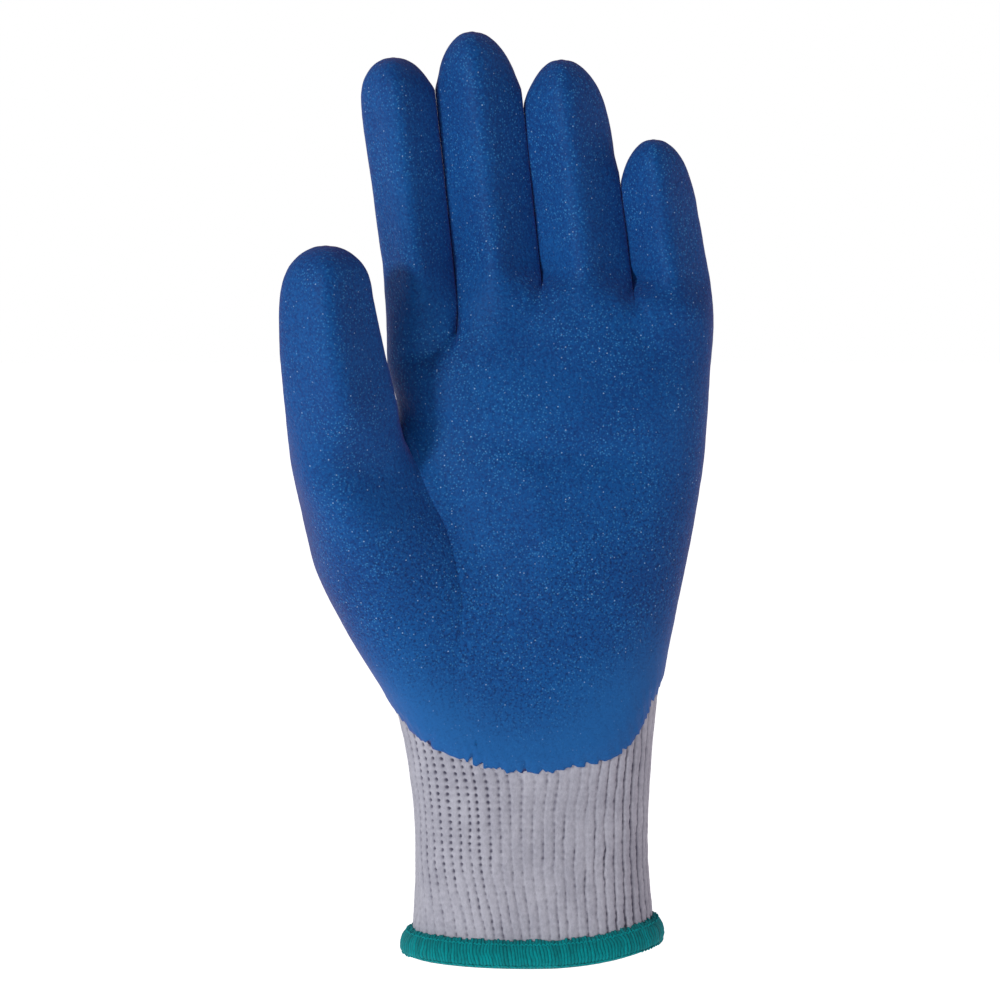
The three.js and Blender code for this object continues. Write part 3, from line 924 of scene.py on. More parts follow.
        # Fingers, each with its own two sides where it stands beside another
        palm_end, below = palm[-1], palm_rings[-1]
        pairs = [
            net.add_points([tops[i][columns + 1], tops[i + 1][0]])
            for i in range(self.finger_count - 1)
        ]
        for index, finger in enumerate(self.FINGERS):
            first = 1 + index * columns
            final = self.palm_size - index * columns
            on_left, on_right = index == 0, index == self.finger_count - 1
            right_place = self.palm_columns + 1
            left = palm_end.points[0] if on_left else pairs[index - 1][1]
            right = palm_end.points[right_place] if on_right else pairs[index][0]
            front = slice(first, first + columns)
            back = slice(final - columns, final)
            fronts, backs = lead[front], lead[back]
            base = Ring(
                [left, *palm_end.points[front], right, *palm_end.points[back]],
                [fronts[0] - half, *fronts, backs[0] - half, *backs],
                [backs[-1] + half, *fronts, fronts[-1] + half, *backs],
            )
            before = [
                below[0] if on_left else None,
                *below[front],
                below[right_place] if on_right else None,
                *below[back],
            ]
            top = self.web_level + finger.length
            self._branch(base, tubes[index], before, top, finger.tip * finger.tip_width)

        # Webs: each climbs from its front edge over a crest to its back edge
        webs = [(fork.points, columns, self.front_start, sides, end, end - 1)]
        for i, pair in enumerate(pairs):
            f, b = (i + 1) * columns, self.palm_size - (i + 1) * columns
            webs.append((palm_end.points, f, f + 1, pair, b, b - 1))
        for ring_points, a, b, pair, c, d in webs:
            flat = (0.0, half, half, 0.0)
            net.add_face((ring_points[a], ring_points[b], pair[1], pair[0]), flat, True)
            net.add_face((pair[0], pair[1], ring_points[d], ring_points[c]), flat, True)


# Smooth surfaces


@dataclass
class Surface:
    """A mesh held as arrays, with the knit's wale number at each point."""

    points: Array
    faces: Array
    origin: Array
    wales: Array

    def normals(self) -> Array:
        """Return the outward direction at each point.

        Returns:
            One unit vector for each point.
        """
        corners = self.points[self.faces]
        across = np.cross(corners[:, 2] - corners[:, 0], corners[:, 3] - corners[:, 1])
        total = np.zeros_like(self.points)
        for i in range(4):
            np.add.at(total, self.faces[:, i], across)
        return unit(total)

    def part(self, keep: Array) -> "Surface":
        """Return the part of the surface on the kept faces.

        Args:
            keep: Which faces are kept.

        Returns:
            A surface of its own.
        """
        faces = self.faces[keep]
        used, places = np.unique(faces, return_inverse=True)
        corners = places.reshape(faces.shape)
        return Surface(self.points[used], corners, self.origin[keep], self.wales[keep])

    def edge(self) -> dict[int, int]:
        """Return the free edges.

        Returns:
            For each point on an edge the next one along its face.
        """
        a = self.faces.ravel()
        b = np.roll(self.faces, -1, axis=1).ravel()
        size = len(self.points)
        there = a.astype(np.int64) * size + b
        lone = ~np.isin(there, b.astype(np.int64) * size + a)
        return dict(zip(a[lone].tolist(), b[lone].tolist()))

    def point_wales(self) -> Array:
        """Return the knit's wale number at the points.

        Returns:
            One number for each point.
        """
        values = np.zeros(len(self.points))
        values[self.faces.ravel()] = self.wales.ravel()
        return values


def evaluated(net: Net, points: Array, levels: int) -> Surface:
    """Smooth a net.

    Args:
        net: The net's faces and wales.
        points: The places of its points.
        levels: How often each face is quartered.

    Returns:
        The smooth surface; origin says which of the net's faces each face came from.
    """
    mesh = bpy.data.meshes.new("net")
    mesh.from_pydata(points.tolist(), [], net.faces)
    source = mesh.attributes.new("source", "INT", "FACE")
    source.data.foreach_set("value", np.arange(len(net.faces), dtype=np.int32))
    layer = mesh.uv_layers.new(name="knit")
    pairs = np.zeros((len(net.faces), 4, 2), np.float32)
    pairs[:, :, 0] = net.wales
    layer.data.foreach_set("uv", pairs.ravel())
    holder = bpy.data.objects.new("net", mesh)
    bpy.context.scene.collection.objects.link(holder)
    modifier = holder.modifiers.new("smooth", "SUBSURF")
    modifier.levels = levels
    modifier.uv_smooth = "NONE"
    smooth_object = holder.evaluated_get(bpy.context.evaluated_depsgraph_get())
    result = smooth_object.to_mesh()
    co = np.zeros(len(result.vertices) * 3)
    result.vertices.foreach_get("co", co)
    count = len(result.polygons)
    corners = np.zeros(count * 4, np.int32)
    result.loops.foreach_get("vertex_index", corners)
    origin = np.zeros(count, np.int32)
    result.attributes["source"].data.foreach_get("value", origin)
    uv = np.zeros(count * 8, np.float32)
    result.uv_layers["knit"].data.foreach_get("uv", uv)
    smooth_object.to_mesh_clear()
    bpy.data.objects.remove(holder)
    bpy.data.meshes.remove(mesh)
    wales = uv.reshape(-1, 4, 2)[:, :, 0].astype(float)
    return Surface(co.reshape(-1, 3), corners.reshape(-1, 4), origin, wales)


def fitted(net: Net, rounds: int = 6) -> Array:
    """Return places for a net's points with which its smooth surface passes through them.

    Args:
        net: The net, whose points lie where the surface should pass.
        rounds: How often the places are mended.

    Returns:
        The places.
    """
    target = np.array(net.points)
    points = target.copy()
    for _ in range(rounds):
        reached = evaluated(net, points, 1).points[: len(target)]
        points += target - reached
    return points


# Meshes in the scene


def add_mesh(
    name: str,
    points: Array,
    faces: Sequence[Sequence[int]],
    marks: dict[str, Array] | None = None,
    flat: int = 0,
) -> Object:
    """Make a smooth shaded mesh object.

    Args:
        name: The object's name.
        points: Its points.
        faces: Its faces, by point number.
        marks: Named numbers, one for each point, that the materials read.
        flat: How many of the last faces are shaded flat.

    Returns:
        The object, linked to the scene.
    """
    mesh = bpy.data.meshes.new(name)
    mesh.from_pydata(np.asarray(points).tolist(), [], [tuple(map(int, f)) for f in faces])
    for mark, values in (marks or {}).items():
        layer = mesh.attributes.new(mark, "FLOAT", "POINT")
        layer.data.foreach_set("value", np.asarray(values, np.float32))
    count = len(mesh.polygons)
    mesh.polygons.foreach_set("use_smooth", np.arange(count) < count - flat)
    mesh.update()
    item = bpy.data.objects.new(name, mesh)
    bpy.context.scene.collection.objects.link(item)
    return item


def tree_of(points: Array, numbers: Sequence[int]) -> KDTree:
    """Return a search tree of some points under their numbers.

    Args:
        points: All the points.
        numbers: Which of them the tree holds.

    Returns:
        The tree.
    """
    tree = KDTree(len(numbers))
    for number in numbers:
        tree.insert(points[number], int(number))
    tree.balance()
    return tree


def grid_faces(
    rows: int, columns: int, start: int = 0, inwards: bool = False, closed: bool = False
) -> Faces:
    """Return the faces of a tube whose points lie in rows.

    Args:
        rows: How many rows it has.
        columns: How many points there are in a row.
        start: The first point's number.
        inwards: Whether the faces look to the tube's inside.
        closed: Whether the last row joins the first.

    Returns:
        Faces by point number.
    """
    faces = []
    for row in range(rows if closed else rows - 1):
        low, high = start + row * columns, start + (row + 1) % rows * columns
        for a in range(columns):
            b = (a + 1) % columns
            face = (low + a, low + b, high + b, high + a)
            faces.append((face[1], face[0], face[3], face[2]) if inwards else face)
    return faces


@dataclass
class Shell:
    """Part of a surface, with its inside one level coarser, that is made into a closed wall."""

    outer: Surface
    inner: Surface
    normals: Array
    inner_normals: Array

    @classmethod
    def cut(cls, surface: Surface, coarse: Surface, chosen: Array) -> "Shell":
        """Cut a part out of the whole surface.

        Args:
            surface: The whole surface.
            coarse: The same one level coarser, for the inside.
            chosen: Which of the net's faces the part is made of.

        Returns:
            The part, with the whole surface's outward directions.
        """
        both = []
        for whole in (surface, coarse):
            keep = chosen[whole.origin]
            both.append((whole.part(keep), whole.normals()[np.unique(whole.faces[keep])]))
        (outer, normals), (inner, inner_normals) = both
        return cls(outer, inner, normals, inner_normals)

    def wall(self) -> tuple[Faces, int]:
        """Return the closed wall.

        Returns:
            Its faces, and how many of the last of them are its rim.
        """
        offset = len(self.outer.points)
        faces = [tuple(face) for face in self.outer.faces.tolist()]
        faces += [tuple(f + offset for f in face[::-1]) for face in self.inner.faces.tolist()]
        ahead = self.outer.edge()
        tree = tree_of(self.outer.points, list(ahead))
        rim = []
        for a, b in self.inner.edge().items():
            start = tree.find(self.inner.points[a])[1]
            middle = ahead[start]
            a, b = a + offset, b + offset
            rim += [(middle, start, a), (middle, a, b), (ahead[middle], middle, b)]
        return faces + rim, len(rim)


def thread_loop(path: Array, radius: float, sides: int = 6) -> tuple[Array, Faces]:
    """Return the points and faces of a round thread that closes on itself.

    Args:
        path: The points that it follows.
        radius: Its radius.
        sides: How many sides its section has.

    Returns:
        Points and faces.
    """
    ahead = unit(np.roll(path, -1, axis=0) - np.roll(path, 1, axis=0))
    first = unit(np.cross(ahead, (0.0, 0.0, 1.0)))
    second = np.cross(ahead, first)
    turn = np.arange(sides) * 2 * math.pi / sides
    around = first[:, None] * np.cos(turn)[None, :, None]
    around = around + second[:, None] * np.sin(turn)[None, :, None]
    points = (path[:, None] + around * radius).reshape(-1, 3)
    return points, grid_faces(len(path), sides, closed=True)


class Piece:
    """A part of the glove that takes a finish and stands for one of the frame's solids."""

    NODE = "knit_liner"
    SLOT = "knit"

    def dress(self, item: Object, material: Material) -> None:
        """Finish a mesh object and tell the frame about it.

        Args:
            item: The object.
            material: Its finish.
        """
        item.data.materials.append(material)
        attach(item, BODY)
        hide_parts(self.NODE)
        sides = sum(len(face.vertices) - 2 for face in item.data.polygons)
        LOG.info("%s: %d triangles", item.name, sides)


# Knit relief


@dataclass(frozen=True)
class Stretch:
    """A stretch round the cuff where the knit is pulled open, and how far it parts into holes."""

    middle: float
    width: float
    opening: float
    dots: float

    def at(self, wale: Array) -> Array:
        """Return how much of the stretch is felt at some wales, from 0 to 1."""
        return bell(wale, self.middle, self.width)


@dataclass(frozen=True)
class KnitRelief:
    """Height of the knit over its wales and courses."""

    course: float = 0.0019
    rib_depth: float = 0.00070
    jersey_depth: float = 0.00042
    gap_width: float = 0.115
    gap_swell: float = 0.65
    hole_sharpness: float = 1.2
    hole_depth: float = 1.25
    crown: float = 0.00005
    crown_width: float = 0.22
    bead: float = 0.00004
    rib_top: float = 0.080
    jersey_start: float = 0.104
    jersey_roundness: float = 0.6
    jersey_slant: float = 0.55
    jersey_dip: float = 0.25
    jersey_bead: float = 0.26
    jersey_shade: float = 0.62
    loose_share: float = 0.28
    loose_shade: float = 0.24
    loose_width: float = 0.16

    LEFT = Stretch(7.5, 4.6, 0.62, 0.68)
    RIGHT = Stretch(26.0, 4.2, 0.42, -0.10)
    REAR = Stretch(50.0, 9.0, 0.18, 0.0)
    LEFT_FADE = (0.25, 0.012, 0.034)
    OPENING, DOTS = 0.47, 0.30
    OPEN_DRIFT = Ripple(0.24, 0.9, 0.007)
    OPEN_GRAIN = Ripple(0.16, 3.0, 0.0019, 30)
    WANDER = Ripple(0.10, 0.9, 0.006)
    ROUGH = Ripple(1.0, 2.1, 0.0022, 40)
    ROUGHNESS = (0.05, Swell(27.0, 6.0, 0.06))
    COURSE_DRIFT = Ripple(0.10, 1.0, 0.004, 9)
    PUCKER = Ripple(0.00008, 0.5, 0.003)
    SEED = 11

    def rib(self, wale: Array, course: Array, openness: Array, dots: Array) -> tuple[Array, Array]:
        """Return height and shaded hollow of the cuff's flat wales with gaps between them.

        Args:
            wale: Wale number; a gap lies at each whole number.
            course: Course number.
            openness: How open the gaps are, from 0 to 1.
            dots: How far the gaps part into a row of holes, from 0 to 1.

        Returns:
            Height in metres, and the hollow from 0 to 1, which sets the gaps' depth and their
            painted shade.
        """
        across = wale - np.floor(wale)
        distance = np.minimum(across, 1 - across)
        hole = (0.5 + 0.5 * np.cos(2 * math.pi * course)) ** self.hole_sharpness
        shaded_gap = bell(distance, 0.0, self.gap_width * (1 + self.gap_swell * dots * hole))
        # The hollow sets the gaps' depth and is also painted as shade in the material.
        shaded_hollow = shaded_gap * openness * (1 - dots + dots * hole * self.hole_depth)
        thread = 0.5 - 0.5 * np.cos(2 * math.pi * course)
        height = -shaded_hollow * self.rib_depth
        height -= bell(distance, 0.0, self.crown_width) * self.crown
        height += (thread - 0.5) * self.bead * (1 - shaded_gap)
        return height, np.clip(shaded_hollow, 0, 1)

    def jersey(self, wale: Array, course: Array) -> tuple[Array, Array]:
        """Return height and painted shade of plain knit, whose stitches are small letters V.

        Args:
            wale: Wale number.
            course: Course number.

        Returns:
            Height in metres, and painted shade from 0 to 1 where the stitches dip.
        """
        across = np.abs(wale - np.floor(wale) - 0.5) * 2
        ridge = 0.5 + 0.5 * np.cos(math.pi * across)
        bead = 0.5 + 0.5 * np.cos(2 * math.pi * (course - self.jersey_slant * across))
        body = ridge**self.jersey_roundness * (1 - self.jersey_dip * bell(across, 0.0, 0.25))
        body *= 1 - self.jersey_bead + self.jersey_bead * bead
        # Painted shade where the stitches dip.
        shaded_hollow = self.jersey_shade * np.clip(1 - 1.1 * body, 0, 1) ** 1.4
        return (body - 1) * self.jersey_depth, shaded_hollow

    def openness(self, wale: Array, height: Array, waver: Waver) -> tuple[Array, Array]:
        """Return how open the gaps between wales are, and how far they part into holes.

        Args:
            wale: Wale number.
            height: Height above the mouth.
            waver: Noise that varies both.

        Returns:
            Two arrays of numbers from 0 to 1.
        """
        low, start, end = self.LEFT_FADE
        left = self.LEFT.at(wale) * (low + (1 - low) * smooth(height, start, end))
        right, rear = self.RIGHT.at(wale), self.REAR.at(wale)
        openness = self.OPENING + self.LEFT.opening * left
        openness = openness + self.RIGHT.opening * right + self.REAR.opening * rear
        openness = openness + self.OPEN_DRIFT.at(waver, wale, height)
        openness = openness + self.OPEN_GRAIN.at(waver, wale, height)
        dots = self.DOTS + self.LEFT.dots * left + self.RIGHT.dots * right
        return np.clip(openness, 0.04, 1.0), np.clip(dots, 0, 1)

    def field(self, wale: Array, height: Array) -> tuple[Array, Array]:
        """Return the knit's relief, which turns from the cuff's ribs to plain knit higher up.

        Args:
            wale: Wale number.
            height: Height above the mouth.

        Returns:
            Height in metres, and painted shade from 0 to 1 in gaps, dips and loose crossings.
        """
        waver = Waver(self.SEED)
        least, swell = self.ROUGHNESS
        rough = least + swell.at(wale)
        wales = wale + self.WANDER.at(waver, wale, height)
        wales = wales + rough * self.ROUGH.at(waver, wale, height)
        course = height / self.course + self.COURSE_DRIFT.at(waver, wale, height)
        openness, dots = self.openness(wale, height, waver)
        rib, shaded_hollow = self.rib(wales, course, openness, dots)
        jersey, jersey_shade = self.jersey(wales, course)
        row = np.round(course)
        loose = waver.at(row * 1.7 + 3, wale * 0.16) > self.loose_share
        # Painted shade: dark lines where loose courses cross; they change only the colour.
        crossing_shade = self.loose_shade * loose * bell(course - row, 0.0, self.loose_width)
        shaded_hollow = np.maximum(shaded_hollow, crossing_shade)
        share = smooth(height, self.rib_top, self.jersey_start)
        lift = rib * (1 - share) + jersey * share + self.PUCKER.at(waver, wale, height)
        return lift, shaded_hollow * (1 - share) + jersey_shade * share


@dataclass
class Cuff(Piece):
    """The knitted tube from the mouth to above the latex edge."""

    form: HandForm
    net_points: Array
    relief: KnitRelief
    wall: float = 0.0013
    steps: int = 8
    row_height: float = 0.00050
    top_row: int = 16
    tuck_row: int = 17
    tuck_depth: float = 0.0005
    lean: float = 1.8
    lean_wale: float = 7
    lean_width: float = 8.0
    lean_start: float = 0.002
    lean_height: float = 0.030
    inside_ratio: int = 4
    tuck_span: Span = (-0.05, 0.15)
    inner_tuck: float = 0.6

    def _rings(self, rows: Array) -> tuple[Array, Array]:
        """Return the net's rings and their wales at given rows, smoothed up the tube.

        Args:
            rows: Rows of the net, with fractions.

        Returns:
            Points for each row and column, and wale numbers with one more column.
        """
        net = self.net_points
        rings = np.array([net[ring.points] for ring in self.form.tube])
        rings = np.concatenate([2 * rings[:1] - rings[1:2], rings])
        wales = np.array([[*ring.lead, ring.trail[0]] for ring in self.form.tube])
        base = np.minimum(rows.astype(int), len(wales) - 3)
        t = rows - base
        weights = spline_weights(t)
        points = sum(w[:, None, None] * rings[base + i] for i, w in enumerate(weights))
        share = t[:, None]
        return points, wales[base] * (1 - share) + wales[base + 1] * share

    def _across(self, ring: Array, columns: Array) -> Array:
        """Return points of a closed ring, smoothed round it.

        Args:
            ring: The ring's points.
            columns: Which places are wanted, in columns with fractions.

        Returns:
            One point for each place.
        """
        size = len(ring)
        base = np.floor(columns).astype(int)
        weights = spline_weights(columns - base)
        return sum(w[:, None] * ring[(base - 1 + i) % size] for i, w in enumerate(weights))

    def grid(self, columns: int, row_height: float) -> tuple[Array, ...]:
        """Return the smooth grid of the tube.

        Args:
            columns: How many columns it has round the tube.
            row_height: About how far apart its rows are.

        Returns:
            Points for each row and column, the wale number of each column and the net's row
            at each row.
        """
        fine = np.linspace(0, self.tuck_row, self.tuck_row * 8 + 1)
        heights = self._rings(fine)[0][:, :, 2].mean(axis=1)
        count = max(2, round((heights[-1] - heights[0]) / row_height))
        rows = np.interp(np.linspace(heights[0], heights[-1], count + 1), heights, fine)
        rings, wales = self._rings(rows)
        total = self.form.wale_count
        target = np.arange(columns) * total / columns
        grid = []
        for ring, marks in zip(rings, wales):
            height = ring[:, 2].mean()
            away = (target - self.lean_wale + total / 2) % total - total / 2
            left = bell(away, 0.0, self.lean_width)
            lean = self.lean * left * (1 - smooth(height, self.lean_start, self.lean_height))
            place = (target + lean) % total
            grid.append(self._across(ring, np.interp(place, marks, np.arange(len(marks)))))
        return np.array(grid), target, rows

    @staticmethod
    def _grid_normals(grid: Array) -> Array:
        """Return the outward direction at each point of a grid."""
        along = np.roll(grid, -1, axis=1) - np.roll(grid, 1, axis=1)
        return unit(np.cross(along, np.gradient(grid, axis=0)))

    def build(self) -> Object:
        """Build the cuff as a closed wall.

        Returns:
            The mesh object.
        """
        columns = self.form.wale_count * self.steps
        grid, wale, net_rows = self.grid(columns, self.row_height)
        normals = self._grid_normals(grid)
        start, end = (self.top_row + share for share in self.tuck_span)
        tucked = smooth(net_rows, start, end)[:, None]
        # The hollow from the relief is painted as shade in the knit's gaps and dips.
        lift, shaded_hollow = self.relief.field(wale[None], grid[:, :, 2])
        lift = lift - self.tuck_depth * tucked
        outer = grid + normals * lift[:, :, None]

        ratio = self.inside_ratio
        inner_rows = np.unique(np.append(np.arange(0, len(grid), ratio), len(grid) - 1))
        depth = (self.wall - self.tuck_depth * tucked * self.inner_tuck)[:, :, None]
        inner = (grid - normals * depth)[inner_rows][:, ::ratio]
        rows, inside = len(grid), columns // ratio
        start, last = rows * columns, len(inner_rows) - 1
        faces = grid_faces(rows, columns)
        faces += grid_faces(len(inner_rows), inside, start, True)
        walls = len(faces)
        for outer_row, inner_row, flip in ((0, 0, False), (rows - 1, last, True)):
            for c in range(inside):
                d = (c + 1) % inside
                a, b = start + inner_row * inside + c, start + inner_row * inside + d
                along = [(c * ratio + k) % columns for k in range(ratio + 1)]
                fan = [outer_row * columns + column for column in along]
                pieces = [(fan[k + 1], fan[k], a) for k in range(ratio // 2)]
                pieces.append((a, b, fan[ratio // 2]))
                pieces += [(fan[k + 1], fan[k], b) for k in range(ratio // 2, ratio)]
                faces += [piece[::-1] if flip else piece for piece in pieces]
        points = np.concatenate([outer.reshape(-1, 3), inner.reshape(-1, 3)])
        marks = {"shaded_hollow": np.append(shaded_hollow, np.zeros(inner.size // 3))}
        return add_mesh("knit_cuff", points, faces, marks, len(faces) - walls)


@dataclass
class KnitBack(Piece):
    """The knitted back of the hand and fingers, which the latex leaves bare."""

    form: HandForm
    surface: Surface
    coarse: Surface
    relief: KnitRelief
    wall: float = 0.0013
    first_row: int = 16

    def build(self) -> Object:
        """Build the back as a closed wall.

        Returns:
            The mesh object.
        """
        net = self.form.net
        bare = ~np.array(net.latex) & (np.array(net.row) >= self.first_row)
        shell = Shell.cut(self.surface, self.coarse, self._tucked(bare))
        outer, inner = shell.outer, shell.inner
        # The hollow from the relief is painted as shade in the knit's gaps and dips.
        lift, shaded_hollow = self.relief.field(outer.point_wales(), outer.points[:, 2])
        inside = inner.points - shell.inner_normals * self.wall
        points = np.concatenate([outer.points + shell.normals * lift[:, None], inside])
        faces, flat = shell.wall()
        marks = {"shaded_hollow": np.append(shaded_hollow, np.zeros(len(inside)))}
        return add_mesh("knit_back", points, faces, marks, flat)

    def _tucked(self, bare: Array) -> Array:
        """Return the bare faces of the net with those beside them that lie under the latex.

        Args:
            bare: Which of the net's faces are bare.

        Returns:
            Which faces the back is made of.
        """
        faces = np.array(self.form.net.faces)
        touched = np.zeros(len(self.form.net.points), bool)
        touched[faces[bare].ravel()] = True
        above = np.array(self.form.net.row) >= self.first_row
        return bare | touched[faces].any(axis=1) & above


@dataclass
class KnitPalm(Piece):
    """The knitted palm and finger fronts, hidden under the latex but seen from inside."""

    form: HandForm
    surface: Surface
    coarse: Surface
    wall: float = 0.0013
    tuck: float = 0.0002

    def build(self) -> Object:
        """Build the palm's liner as a closed wall.

        Returns:
            The mesh object.
        """
        shell = Shell.cut(self.surface, self.coarse, np.array(self.form.net.latex))
        outer, inner = shell.outer, shell.inner
        inside = inner.points - shell.inner_normals * self.wall
        points = np.concatenate([outer.points - shell.normals * self.tuck, inside])
        marks = {"shaded_hollow": np.zeros(len(points))}
        return add_mesh("knit_palm", points, shell.wall()[0], marks)


@dataclass
class LatexCoat(Piece):
    """The latex dip over palm, thumb and fingers, with its ragged lower edge."""

    NODE = "latex_coat"
    SLOT = "latex"

    form: HandForm
    surface: Surface
    coarse: Surface
    lift: float = 0.0011
    edge_lift: float = 0.00030
    inner_lift: float = -0.0001
    thin_width: float = 0.0035
    edge_range: float = 0.012
    side_range: float = 0.006
    lower_slope: float = -0.55
    lower_top: float = 0.085
    band_fade: float = 0.026
    rib_show: float = 0.00010
    rib_fade: float = 0.004
    tooth_shape: float = 1.5
    tooth_size: float = 0.00060
    tooth_half: float = 0.42
    tooth_jitter: float = 0.15
    seed: int = 5

    LONG_TEETH = ((12, 0.0036), (19, 0.0036), (21, 0.0024), (44, 0.0016))
    WAVE = Ripple(0.0006, 0.11, 1.0)
    FRINGE = Ripple(0.0004, 1.7, 1.0)
    CORNERS = (Swell(0.0235, 0.0095, 0.0052), Swell(-0.029, 0.008, 0.0013))
    SIDE_DIP = Swell(0.079, 0.013, 0.0014)
    SIDE_DIP_START = 0.02
    SIDE_NOISE = ((160, 0.0013), (700, 0.0005))
    LUMPS = ((130, 0.00012), (520, 0.00005))

    @staticmethod
    def _lumps(points: Array, layers: Sequence[tuple[float, float]]) -> Array:
        """Return noise at points, from layers of a scale and a size each."""
        each = [[noise.noise(Vector(p) * scale) * size for p in points] for scale, size in layers]
        return np.sum(each, axis=0)

    def _edge_shift(self, edge: Array, wales: Array, lower: Array) -> Array:
        """Return how far each point of the edge moves outwards along the knit.

        Args:
            edge: The edge's points.
            wales: Their wale numbers.
            lower: Which of them belong to the lower edge.

        Returns:
            One distance for each point.
        """
        draw = np.random.default_rng(self.seed)
        count = self.form.wale_count * 2
        height = draw.gamma(self.tooth_shape, self.tooth_size, count)
        for number, size in self.LONG_TEETH:
            height[number] = size
        offset = draw.uniform(-self.tooth_jitter, self.tooth_jitter, count)
        wale = wales * 2 % count
        index = np.floor(wale).astype(int) % count
        across = np.abs(wale - np.floor(wale) - 0.5 + offset[index])
        tooth = np.clip(1 - across / self.tooth_half, 0, 1) ** 0.6
        waver = Waver(23)
        x, z = edge[:, 0], edge[:, 2]
        corner = sum(swell.at(x) for swell in self.CORNERS) * (edge[:, 1] < 0)
        teeth = self.WAVE.at(waver, wale, 0.0) + self.FRINGE.at(waver, wale, 5.0) + corner
        side = self._lumps(edge, self.SIDE_NOISE)
        side -= (x > self.SIDE_DIP_START) * self.SIDE_DIP.at(z)
        return np.where(lower, teeth - height[index] * tooth, side)

    def build(self) -> Object:
        """Build the coat as a closed wall.

        Returns:
            The mesh object.
        """
        cut = Shell.cut(self.surface, self.coarse, np.array(self.form.net.latex))
        outer, normals = cut.outer, cut.normals
        wales = outer.point_wales()
        ahead = outer.edge()
        behind = {b: a for a, b in ahead.items()}
        numbers = sorted(ahead)
        place = {number: i for i, number in enumerate(numbers)}
        following = np.array([place[ahead[n]] for n in numbers])
        leading = np.array([place[behind[n]] for n in numbers])
        edge = outer.points[numbers]
        outwards = unit(np.cross(edge[following] - edge[leading], normals[numbers]))
        for _ in range(12):
            outwards = unit(outwards * 2 + outwards[following] + outwards[leading])
        lower = (outwards[:, 2] < self.lower_slope) & (edge[:, 2] < self.lower_top)
        shift = self._edge_shift(edge, wales[numbers], lower)
        shift = (6 * shift + shift[following] + shift[leading]) / 8
        tree = tree_of(edge, range(len(edge)))
        lower_tree = tree_of(edge, np.flatnonzero(lower))
        skin = BVHTree.FromPolygons(
            self.surface.points.tolist(), self.surface.faces.tolist(), epsilon=0.0
        )

        def moved(points: Array) -> tuple[Array, Array]:
            """Return points shifted along the knit with the edge, and how far off they were.

            Args:
                points: Points on the knit.

            Returns:
                Their new places, and their old distances from the edge.
            """
            result, distance = points.copy(), np.zeros(len(points))
            for i, point in enumerate(points):
                _, near, far = tree.find(point)
                distance[i] = far
                reach = self.edge_range if lower[near] else self.side_range
                if far < reach:
                    push = shift[near] * (1 - far / reach) ** 2
                    result[i] = skin.find_nearest(point + outwards[near] * push)[0]
            return result, distance

        points, distance = moved(outer.points)
        to_lower = np.array([lower_tree.find(point)[2] for point in outer.points])
        thin = smooth(distance, 0.0, self.thin_width)
        height = self.edge_lift + (self.lift - self.edge_lift) * thin
        height += self._lumps(points, self.LUMPS) * thin
        ribs = np.cos(2 * math.pi * wales) * np.exp(-to_lower / self.rib_fade)
        height += self.rib_show * ribs
        under = moved(cut.inner.points)[0] + cut.inner_normals * self.inner_lift
        shell = self.form.pressed(points + normals * height[:, None])
        under = self.form.pressed(under)
        band = np.append(np.exp(-to_lower / self.band_fade), np.ones(len(under)))
        every = np.concatenate([shell, under])
        return add_mesh("latex_dip", every, cut.wall()[0], {"band": band})


